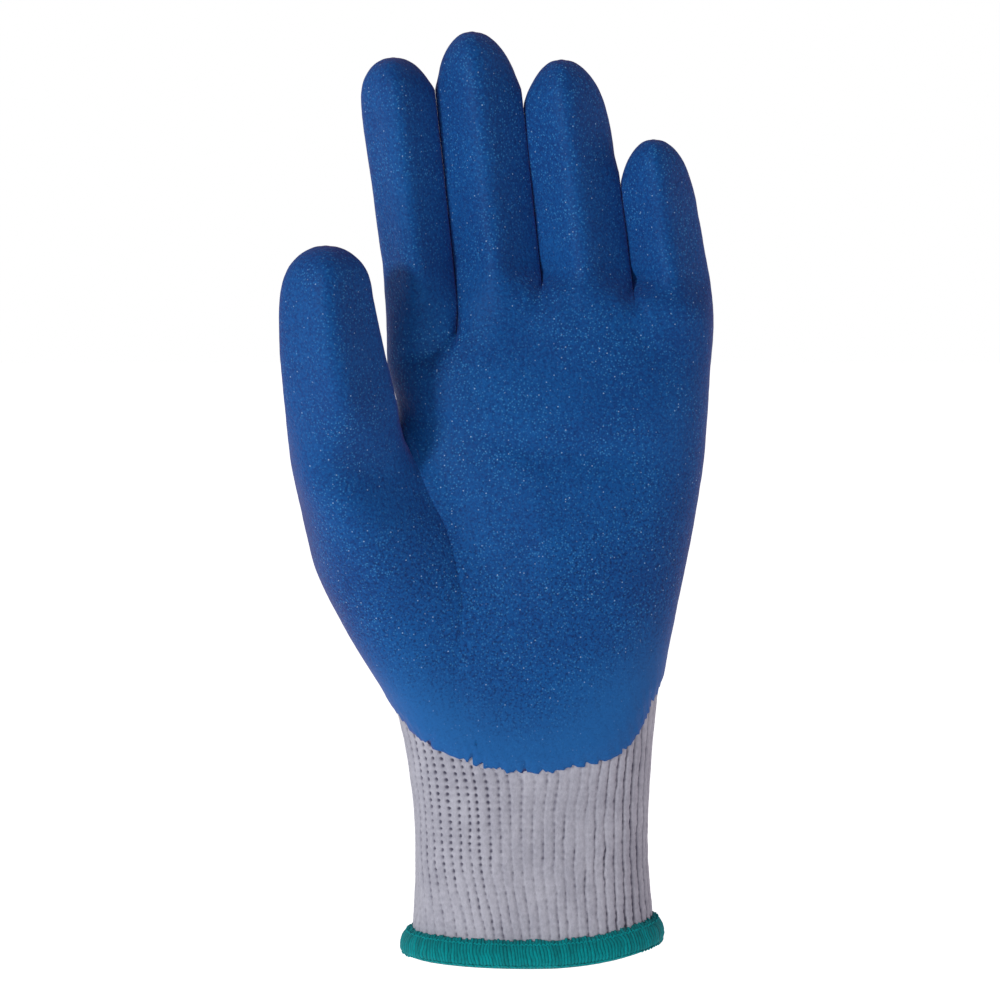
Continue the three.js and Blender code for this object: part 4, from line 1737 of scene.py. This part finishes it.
@dataclass
class Hem(Piece):
    """The overlocked hem round the mouth."""

    NODE = "cuff_hem"
    SLOT = "hem_thread"

    cuff: Cuff
    height: float = 0.0049
    lining_height: float = 0.0064
    wall: float = 0.0022
    clearance: float = 0.0003
    knit_wall: float = 0.0013
    thread_pitch: float = 0.00088
    steps: int = 6
    section_points: int = 44
    thread_lift: float = 0.00015
    loop_pitch: float = 0.0023
    loop_radius: float = 0.00021
    loop_points: int = 14
    loop_rise: Span = (-0.0003, 0.0005)
    thread_sizes: Span = (0.75, 1.2)
    thread_roundness: float = 0.8
    slant: float = 0.09
    ring_step: float = 0.004

    WANDER = Ripple(0.50, 0.31, 0.0022)
    FUZZ = Ripple(0.00015, 1.3, 0.0008, 7)

    def _ring(self, count: int) -> tuple[Array, Array, Array]:
        """Return places on the mouth at even steps.

        Args:
            count: How many steps there are.

        Returns:
            The places, and the outward and upward directions there.
        """
        ring, above = self.cuff.grid(self.cuff.form.wale_count * 8, self.ring_step)[0][:2]
        steps = np.linalg.norm(np.diff(ring, axis=0, append=ring[:1]), axis=1)
        length = np.concatenate([[0], np.cumsum(steps)])
        target = np.arange(count) / count * length[-1]
        self.length = length[-1]

        def sampled(values: Array) -> Array:
            """Return a ring's values at the steps."""
            closed = np.concatenate([values, values[:1]])
            return np.stack([np.interp(target, length, closed[:, i]) for i in range(3)], axis=1)

        places, tops = sampled(ring), sampled(above)
        up = unit(tops - places)
        along = np.roll(places, -1, axis=0) - np.roll(places, 1, axis=0)
        return places, unit(np.cross(along, up)), up

    def _section(self) -> Array:
        """Return the hem's rounded section.

        Returns:
            Distances out from the knit and up, for each point round it.
        """
        out, inside = self.clearance * 0.3, -self.knit_wall - self.clearance
        wall, height = self.wall, self.height
        corners = np.array(
            [
                (out - 0.0003, height),
                (out + wall * 0.42, height * 0.90),
                (out + wall * 1.02, height * 0.60),
                (out + wall * 1.30, height * 0.12),
                (out + wall, -wall * 0.70),
                (-self.knit_wall / 2, -wall * 1.22),
                (inside - wall * 0.42, -wall * 0.70),
                (inside - wall * 0.55, self.lining_height * 0.30),
                (inside - wall * 0.40, self.lining_height * 0.78),
                (inside, self.lining_height),
                (inside, self.lining_height * 0.15),
                (-self.knit_wall / 2, -self.clearance),
                (out, height * 0.10),
            ]
        )
        count = len(corners)
        spread = np.linspace(0, count, self.section_points, endpoint=False)
        base = spread.astype(int)
        t = (spread - base)[:, None]
        a, b, c, d = (corners[(base + i) % count] for i in (-1, 0, 1, 2))
        return 0.5 * (
            2 * b + (c - a) * t + (2 * a - 5 * b + 4 * c - d) * t**2
            + (3 * b - 3 * c + d - a) * t**3
        )

    def band(self) -> Object:
        """Build the rolled band of wrapped thread.

        Returns:
            The mesh object.
        """
        self._ring(8)
        threads = round(self.length / self.thread_pitch)
        count = threads * self.steps
        places, out, up = self._ring(count)
        section = self._section()
        draw = np.random.default_rng(3)
        size = draw.uniform(*self.thread_sizes, threads)
        shade = draw.uniform(0, 1, threads)
        turn = np.arange(count) / self.steps
        thick = self._thickness(turn / threads, out)
        waver = Waver(31)
        rows, marks = [], []
        for across, level in section:
            phase = turn + self.slant * level / self.thread_pitch
            phase = phase + self.WANDER.at(waver, turn, level)
            thread = np.floor(phase).astype(int) % threads
            bump = np.abs(np.sin(math.pi * phase)) ** self.thread_roundness
            lift = (bump - 1) * self.thread_lift * size[thread]
            lift += self.FUZZ.at(waver, turn, level)
            rise = np.zeros(count)
            if level > self.height * 0.9:
                rise = draw.uniform(*self.loop_rise, threads)[thread]
            reach = across + lift * (across > 0 or across < -self.knit_wall)
            reach = reach * thick if across > 0 else reach
            rows.append(places + out * reach[:, None] + up * (level + rise)[:, None])
            # Painted shade between the wrapped threads, darkest in the valleys.
            marks.append(np.clip(1 - bump, 0, 1))
        points = np.stack(rows, axis=1).reshape(-1, 3)
        tone = np.repeat(shade[turn.astype(int) % threads], len(section))
        marks = {"shaded_hollow": np.stack(marks, axis=1).ravel(), "tone": tone}
        faces = grid_faces(count, len(section), closed=True)
        return add_mesh("hem_band", points, faces, marks)

    @staticmethod
    def _thickness(share: Array, out: Array) -> Array:
        """Return how thick the band is at shares of the way round, 1 on average."""
        return 1 + 0.05 * Waver(37).at(share * 20, share * 0) - 0.10 * out[:, 0]

    def chain(self) -> Object:
        """Build the looped threads that lie on the band.

        Returns:
            The mesh object.
        """
        loops = round(self.length / self.loop_pitch)
        count = loops * self.loop_points
        places, out, up = self._ring(count)
        turn = np.arange(count) / self.loop_points
        draw = np.random.default_rng(8)
        jitter = draw.uniform(-1, 1, loops)[np.floor(turn).astype(int) % loops]
        angle = 2 * math.pi * (turn - np.floor(turn))
        level = self.height * (0.84 + 0.05 * np.cos(2 * angle)) + 0.00012 * jitter
        thick = self._thickness(turn / loops, out)
        reach = self.wall * 0.62 * thick + 0.00012 * np.cos(angle)
        needle = places + out * reach[:, None] + up * level[:, None]
        low = -self.wall * (0.72 + 0.12 * np.abs(np.sin(angle))) + 0.0002 * jitter
        depth = self.wall * 1.02 * thick + 0.0001 * np.cos(angle)
        along = unit(np.roll(places, -1, axis=0) - np.roll(places, 1, axis=0))
        edge = places + out * depth[:, None] + up * low[:, None]
        edge += along * (0.0006 * np.sin(2 * angle))[:, None]
        points, faces = thread_loop(needle, self.loop_radius)
        more, more_faces = thread_loop(edge, self.loop_radius * 0.9)
        shift = len(points)
        faces += [tuple(f + shift for f in face) for face in more_faces]
        every = np.concatenate([points, more])
        marks = {"shaded_hollow": np.zeros(len(every)), "tone": np.ones(len(every))}
        return add_mesh("hem_stitches", every, faces, marks)


# Finishes


Value = float | Socket
Colour = tuple[float, float, float, float]


class Operation(Enum):
    """What is done with two numbers in a shader."""

    PLUS = "ADD"
    MINUS = "SUBTRACT"
    TIMES = "MULTIPLY"


class Shader:
    """Builds nodes in a tree."""

    def __init__(self, tree: NodeTree) -> None:
        """Keep the tree."""
        self.tree = tree

    def node(self, kind: str, inputs: dict | None = None, **settings: object) -> Node:
        """Add a node.

        Args:
            kind: The node's type, without its common beginning.
            inputs: Values or sockets for its inputs, by name or number.
            settings: Values for its own fields.

        Returns:
            The node.
        """
        node = self.tree.nodes.new("ShaderNode" + kind)
        for name, value in settings.items():
            setattr(node, name, value)
        return self.fill(node, inputs or {})

    def fill(self, node: Node, inputs: dict) -> Node:
        """Give a node's inputs what they take.

        Args:
            node: The node.
            inputs: Values or sockets for its inputs, by name or number.

        Returns:
            The same node.
        """
        for name, value in inputs.items():
            if isinstance(value, Socket):
                self.tree.links.new(value, node.inputs[name])
            else:
                node.inputs[name].default_value = value
        return node

    def placed(self, effect: NodeTree, values: dict[str, float]) -> Node:
        """Place a shared effect with this material's own values."""
        return self.node("Group", values, node_tree=effect)

    def _sum(self, operation: Operation, first: Value, second: Value) -> Socket:
        """Return the result of an operation on two numbers."""
        node = self.node("Math", {0: first, 1: second}, operation=operation.value)
        return node.outputs[0]

    def plus(self, first: Value, second: Value) -> Socket:
        """Return the sum of two numbers."""
        return self._sum(Operation.PLUS, first, second)

    def minus(self, first: Value, second: Value) -> Socket:
        """Return a number less another."""
        return self._sum(Operation.MINUS, first, second)

    def times(self, first: Value, second: Value) -> Socket:
        """Return two numbers multiplied."""
        return self._sum(Operation.TIMES, first, second)

    def mix(self, share: Value, first: Value, second: Value) -> Socket:
        """Return a colour between two, which has a share of the second."""
        node = self.node("Mix", {0: share, 6: first, 7: second}, data_type="RGBA")
        return node.outputs[2]

    def band(self, value: Value, low: float, high: float) -> Socket:
        """Return 0 below a number and 1 above another, with a soft step between."""
        inputs = {"Value": value, "From Min": low, "From Max": high}
        return self.node("MapRange", inputs, interpolation_type="SMOOTHSTEP").outputs["Result"]

    def noise(self, where: Value, scale: Value, detail: float, **more: float) -> Value:
        """Return noise at a place, from 0 to 1."""
        inputs = {"Vector": where, "Scale": scale, "Detail": detail, **more}
        return self.node("TexNoise", inputs).outputs["Fac"]

    def bump(self, height: Value, distance: float, strength: float) -> Socket:
        """Return the outward direction of a surface with fine relief."""
        inputs = {"Height": height, "Distance": distance, "Strength": strength}
        return self.node("Bump", inputs).outputs["Normal"]

    def place(self) -> Socket:
        """Return the place on the object."""
        return self.node("TexCoord").outputs["Object"]

    def mark(self, name: str) -> Socket:
        """Return a named number of the mesh."""
        return self.node("Attribute", attribute_name=name).outputs["Fac"]


def linear(value: int) -> float:
    """Return a screen colour's part from 0 to 255 as the linear number that shaders take."""
    share = value / 255
    return share / 12.92 if share <= 0.04045 else ((share + 0.055) / 1.055) ** 2.4


def colour(red: int, green: int, blue: int) -> Colour:
    """Return a screen colour as linear numbers."""
    return linear(red), linear(green), linear(blue), 1.0


def group(name: str, inputs: dict[str, float], outputs: Sequence[str]) -> tuple:
    """Start a node group.

    Args:
        name: The group's name.
        inputs: Its inputs and their values.
        outputs: Its outputs.

    Returns:
        The group, its shader builder, its input sockets and its output node.
    """
    tree = bpy.data.node_groups.new(name, "ShaderNodeTree")
    kind = "NodeSocketFloat"
    for socket, value in inputs.items():
        item = tree.interface.new_socket(name=socket, in_out="INPUT", socket_type=kind)
        item.default_value = value
    for socket in outputs:
        tree.interface.new_socket(name=socket, in_out="OUTPUT", socket_type=kind)
    given, made = tree.nodes.new("NodeGroupInput"), tree.nodes.new("NodeGroupOutput")
    return tree, Shader(tree), given.outputs, made


def mottle_group() -> NodeTree:
    """Make the effect of a finish whose tone drifts over large and small patches.

    Returns:
        The node group.
    """
    tree, shader, given, made = group(
        "tone_drift", {"Patch": 60.0, "Speck": 900.0, "Speck share": 0.4}, ("Tone",)
    )
    where, share = shader.place(), given["Speck share"]
    large = shader.times(shader.noise(where, given["Patch"], 3.0), shader.minus(1.0, share))
    small = shader.times(shader.noise(where, given["Speck"], 2.0), share)
    shader.fill(made, {"Tone": shader.plus(large, small)})
    return tree


def fibre_group() -> NodeTree:
    """Make the effect of spun yarn: fine stretched fibres and a fuzzy surface.

    Returns:
        The node group.
    """
    tree, shader, given, made = group(
        "yarn_fibres", {"Fineness": 2600.0, "Stretch": 0.35}, ("Height", "Shade")
    )
    where, fineness = shader.place(), given["Fineness"]
    squash = shader.node("CombineXYZ", {0: 1.0, 1: 1.0, 2: given["Stretch"]}).outputs[0]
    drawn = shader.node("VectorMath", {0: where, 1: squash}, operation="MULTIPLY").outputs[0]
    fine = shader.noise(drawn, fineness, 3.0, Distortion=1.2)
    coarse = shader.noise(where, shader.times(fineness, 0.4), 2.0)
    both = shader.plus(shader.times(fine, 0.65), shader.times(coarse, 0.35))
    shader.fill(made, {"Height": both, "Shade": shader.band(both, 0.30, 0.70)})
    return tree


@dataclass(frozen=True)
class Effects:
    """The effects that several finishes share."""

    drift: NodeTree
    fibres: NodeTree


def new_material(name: str) -> tuple[Material, Shader, Node]:
    """Make an empty material.

    Args:
        name: Its name.

    Returns:
        The material, its shader builder and its surface shader.
    """
    material = bpy.data.materials.new(name)
    material.use_nodes = True
    material.node_tree.nodes.clear()
    shader = Shader(material.node_tree)
    surface = shader.node("BsdfPrincipled")
    shader.node("OutputMaterial", {"Surface": surface.outputs[0]})
    return material, shader, surface


@dataclass(frozen=True)
class LatexFinish:
    """Blue crinkle-finish latex whose tiny bright points are painted glints and whose lighter
    flecks are partly painted sparkle.
    """

    deep: Colour = colour(6, 62, 127)
    light: Colour = colour(10, 88, 158)
    edge: Colour = colour(32, 105, 174)
    # Painted shade: the darker colour of the grain's low pits near the lower edge.
    shaded_pit: Colour = colour(0, 46, 98)
    # Lighter flecks: partly colour mottling, partly painted sparkle highlights of the crinkle.
    fleck_and_sparkle: Colour = colour(58, 136, 196)
    # Painted glint: the near-white colour of tiny highlights painted into the latex.
    painted_glint: Colour = colour(170, 205, 238)
    grain: float = 1700.0
    cell_scale: float = 1054.0
    painted_glints: float = 980.0
    flecks_and_sparkle: float = 1225.0
    crowds: float = 70.0
    roughness: float = 0.55
    roughness_range: float = 0.16
    painted_glint_polish: float = 0.2
    crinkle: float = 0.00018
    calm: Span = (0.32, 0.82)
    calm_share: float = 0.75
    verge: Span = (0.03, 0.20)
    tone: Span = (0.36, 0.64)
    drift_share: float = 0.6
    shaded_pits: Span = (0.36, 0.46)
    shaded_pit_share: float = 0.6
    fleck_and_sparkle_size: Span = (0.12, 0.38)
    fleck_and_sparkle_crowd: Span = (0.6, 0.25)
    fleck_and_sparkle_share: float = 0.9
    painted_glint_size: Span = (0.10, 0.24)
    painted_glint_choice: Span = (0.82, 0.98)
    painted_glint_share: float = 0.7
    specular: float = 0.13
    sheen: float = 0.13
    sheen_tint: Colour = (0.80, 0.18, 0.40, 1.0)

    def _spots(self, shader: Shader, where: Value, scale: float, size: tuple) -> tuple:
        """Return round spots from 0 to 1, and the random colour of each."""
        dots = shader.node("TexVoronoi", {"Vector": where, "Scale": scale}).outputs
        return shader.minus(1.0, shader.band(dots["Distance"], *size)), dots["Color"]

    def material(self, effects: Effects) -> Material:
        """Build the material.

        Args:
            effects: The shared effects.

        Returns:
            The material.
        """
        made, shader, surface = new_material("latex_blue")
        where = shader.place()
        values = {"Patch": 45.0, "Speck": 1100.0, "Speck share": 0.6}
        drift = shader.placed(effects.drift, values).outputs["Tone"]
        grain = shader.noise(where, self.grain, 2.5, Roughness=0.55)
        inputs = {"Vector": where, "Scale": self.cell_scale}
        cells = shader.node("TexVoronoi", inputs, feature="SMOOTH_F1").outputs["Distance"]
        band = shader.mark("band")
        calm = shader.times(shader.band(band, *self.calm), self.calm_share)
        active = shader.minus(1.0, calm)
        share = self.drift_share
        tone = shader.plus(shader.times(drift, share), shader.times(grain, 1 - share))
        base = shader.mix(shader.band(tone, *self.tone), self.deep, self.light)
        base = shader.mix(calm, base, self.edge)
        verge = shader.times(shader.band(band, *self.verge), active)
        # Painted shade: darker colour in the grain's low pits near the lower edge.
        shaded_pits = shader.minus(1.0, shader.band(grain, *self.shaded_pits))
        shaded_pits = shader.times(shaded_pits, shader.times(verge, self.shaded_pit_share))
        base = shader.mix(shaded_pits, base, self.shaded_pit)
        # Lighter flecks in drifting crowds: partly colour mottling, partly painted sparkle.
        crowd = shader.band(shader.noise(where, self.crowds, 2.0), 0.34, 0.66)
        crowd = shader.plus(shader.times(crowd, self.fleck_and_sparkle_crowd[0]), self.fleck_and_sparkle_crowd[1])
        flecks_and_sparkle = self._spots(shader, where, self.flecks_and_sparkle, self.fleck_and_sparkle_size)[0]
        flecks_and_sparkle = shader.times(shader.times(flecks_and_sparkle, crowd), active)
        base = shader.mix(shader.times(flecks_and_sparkle, self.fleck_and_sparkle_share), base, self.fleck_and_sparkle)
        # Painted glints: scattered near-white points painted into the base colour as highlights, a
        # little smoother where they lie.
        near, chance = self._spots(shader, where, self.painted_glints, self.painted_glint_size)
        chance = shader.node("SeparateColor", {0: chance}).outputs[0]
        painted_glints = shader.times(near, shader.band(chance, *self.painted_glint_choice))
        painted_glints = shader.times(painted_glints, active)
        base = shader.mix(shader.times(painted_glints, self.painted_glint_share), base, self.painted_glint)
        spread = self.roughness_range
        rough = shader.plus(self.roughness - spread / 2, shader.times(grain, spread))
        rough = shader.minus(rough, shader.times(painted_glints, self.painted_glint_polish))
        relief = shader.times(shader.minus(grain, shader.times(cells, 0.7)), active)
        values = {
            "Base Color": base,
            "Roughness": rough,
            "Normal": shader.bump(relief, self.crinkle, 1.0),
            "Specular IOR Level": self.specular,
            "Sheen Weight": self.sheen,
            "Sheen Roughness": 0.5,
            "Sheen Tint": self.sheen_tint,
        }
        shader.fill(surface, values)
        return made


@dataclass(frozen=True)
class YarnFinish:
    """Knitted or sewn yarn of one colour family."""

    name: str
    deep: Colour
    light: Colour
    # Painted shade: the dark colour of the gaps and dips between wales and threads.
    shaded_gap: Colour
    fineness: float
    roughness: float = 0.88
    roughness_range: float = 0.12
    fuzz: float = 0.00012
    sheen: float = 0.25
    shaded_gap_range: Span = (0.12, 0.95)
    shaded_gap_share: float = 0.9
    specular: float = 0.25
    strand_share: float = 0.0

    def material(self, effects: Effects) -> Material:
        """Build the material.

        Args:
            effects: The shared effects.

        Returns:
            The material.
        """
        made, shader, surface = new_material(self.name)
        values = {"Patch": 90.0, "Speck": 700.0, "Speck share": 0.45}
        drift = shader.placed(effects.drift, values).outputs["Tone"]
        values = {"Fineness": self.fineness, "Stretch": 0.4}
        fibres = shader.placed(effects.fibres, values).outputs
        drift = shader.times(shader.band(drift, 0.35, 0.65), 0.5)
        tone = shader.plus(drift, shader.times(fibres["Shade"], 0.5))
        if self.strand_share:
            strand = shader.minus(shader.mark("tone"), 0.5)
            tone = shader.plus(tone, shader.times(strand, self.strand_share))
        # Painted shade: the dark gap colour goes where the mesh's hollow mark says the knit or
        # thread dips.
        shaded_hollow = shader.band(shader.mark("shaded_hollow"), *self.shaded_gap_range)
        base = shader.mix(tone, self.deep, self.light)
        base = shader.mix(shader.times(shaded_hollow, self.shaded_gap_share), base, self.shaded_gap)
        spread = self.roughness_range
        rough = shader.plus(self.roughness - spread / 2, shader.times(tone, spread))
        values = {
            "Base Color": base,
            "Roughness": rough,
            "Normal": shader.bump(fibres["Height"], self.fuzz, 0.8),
            "Specular IOR Level": self.specular,
            "Sheen Weight": self.sheen,
            "Sheen Roughness": 0.5,
        }
        shader.fill(surface, values)
        return made


# Studio


@dataclass
class Studio:
    """Pale floor, soft lights and the camera."""

    target: Triple = (-0.0085, 0.0, 0.12275)
    distance: float = 1.10
    elevation: float = 3.0
    view_width: float = 0.274
    sensor: float = 36.0
    light_distance: float = 1.3
    floor_level: float = -0.06
    floor_glow: float = 0.50
    floor_seen: float = 0.9

    def camera(self) -> None:
        """Make the camera."""
        data = bpy.data.cameras.new("camera")
        data.sensor_width = self.sensor
        data.lens = self.sensor * self.distance / self.view_width
        data.clip_start, data.clip_end = 0.05, 50.0
        camera = self._aimed("camera", data, 0.0, self.elevation, self.distance)
        bpy.context.scene.camera = camera

    def _aimed(
        self, name: str, data: bpy.types.ID, azimuth: float, elevation: float, distance: float
    ) -> Object:
        """Place a camera or light that faces the glove.

        Args:
            name: The object's name.
            data: The camera or light.
            azimuth: Degrees to the right of the camera's side.
            elevation: Degrees above the horizon.
            distance: How far away it stands.

        Returns:
            The object.
        """
        turn, lift = math.radians(azimuth), math.radians(elevation)
        level = math.cos(lift)
        away = Vector((math.sin(turn) * level, -math.cos(turn) * level, math.sin(lift)))
        item = bpy.data.objects.new(name, data)
        item.location = Vector(self.target) + away * distance
        item.rotation_euler = (-away).to_track_quat("-Z", "Y").to_euler()
        bpy.context.scene.collection.objects.link(item)
        return item

    def light(
        self, name: str, azimuth: float, elevation: float, size: float, power: float, tint: Triple
    ) -> None:
        """Make a soft light that faces the glove.

        Args:
            name: The light's name.
            azimuth: Degrees to the right of the camera's side.
            elevation: Degrees above the horizon.
            size: Width of its square face.
            power: Its power in watts.
            tint: Its colour.
        """
        data = bpy.data.lights.new(name, "AREA")
        data.size = size
        data.energy = power
        data.color = tint
        self._aimed(name, data, azimuth, elevation, self.light_distance)

    def floor(self) -> None:
        """Make the floor."""
        count, radius = 64, 12.0
        turn = np.arange(count) * 2 * math.pi / count
        points = [(radius * math.cos(t), radius * math.sin(t), self.floor_level) for t in turn]
        item = add_mesh("floor", points, [tuple(range(count))])
        made, shader, surface = new_material("floor_white")
        seen = shader.node("LightPath").outputs["Is Camera Ray"]
        glow = shader.times(seen, self.floor_seen - self.floor_glow)
        values = {
            "Base Color": (0.9, 0.9, 0.9, 1),
            "Roughness": 0.9,
            "Emission Color": (1, 1, 1, 1),
            "Emission Strength": shader.plus(self.floor_glow, glow),
        }
        shader.fill(surface, values)
        item.data.materials.append(made)

    def world(self) -> None:
        """Light the air evenly and keep the backdrop white."""
        world = bpy.data.worlds.new("air")
        bpy.context.scene.world = world
        world.use_nodes = True
        shader = Shader(world.node_tree)
        world.node_tree.nodes.clear()
        ambient = shader.node("Background", {"Color": (1.0, 0.92, 1.0, 1), "Strength": 0.25})
        white = shader.node("Background", {"Color": (1, 1, 1, 1), "Strength": 1.0})
        seen = shader.node("LightPath").outputs["Is Camera Ray"]
        both = shader.node("MixShader", {0: seen, 1: ambient.outputs[0], 2: white.outputs[0]})
        shader.node("OutputWorld", {"Surface": both.outputs[0]})
        bpy.context.scene.view_settings.view_transform = "Standard"

    def build(self) -> None:
        """Make everything round the glove."""
        self.camera()
        self.floor()
        self.world()
        self.light("key", -46, 14, 0.18, 6.6, (0.95, 1.0, 1.0))
        self.light("edge", 100, 5, 0.60, 1.1, (1.0, 0.68, 0.80))


def main() -> None:
    """Build the glove and the studio."""
    logging.basicConfig(level=logging.INFO, format="%(message)s")
    Studio().build()
    effects = Effects(mottle_group(), fibre_group())
    knit = YarnFinish(
        "yarn_grey",
        deep=colour(162, 161, 174),
        light=colour(197, 196, 207),
        # The knit's dark gap colour is painted shade.
        shaded_gap=colour(62, 58, 82),
        fineness=2400.0,
    ).material(effects)
    thread = YarnFinish(
        "thread_green",
        deep=colour(0, 126, 129),
        light=colour(0, 159, 163),
        # The thread's dark gap colour is painted shade.
        shaded_gap=colour(0, 66, 74),
        fineness=3600.0,
        fuzz=0.00008,
        sheen=0.08,
        shaded_gap_share=0.75,
        specular=0.12,
        strand_share=0.7,
    ).material(effects)
    latex = LatexFinish().material(effects)

    relief = KnitRelief()
    tall = HandForm(rows_between=4)
    tall_points = fitted(tall.net)
    fine = evaluated(tall.net, tall_points, 3)
    coarse = evaluated(tall.net, tall_points, 2)
    cuff = Cuff(tall, tall_points, relief)
    cuff.dress(cuff.build(), knit)
    back = KnitBack(tall, fine, coarse, relief)
    back.dress(back.build(), knit)

    short = HandForm(rows_between=2)
    short_points = fitted(short.net)
    levels = [evaluated(short.net, short_points, level) for level in (1, 2, 3)]
    palm = KnitPalm(short, levels[1], levels[0])
    palm.dress(palm.build(), knit)
    coat = LatexCoat(short, levels[2], levels[1])
    coat.dress(coat.build(), latex)

    hem = Hem(cuff)
    hem.dress(hem.band(), thread)
    hem.dress(hem.chain(), thread)


if __name__ == "__main__":
    main()
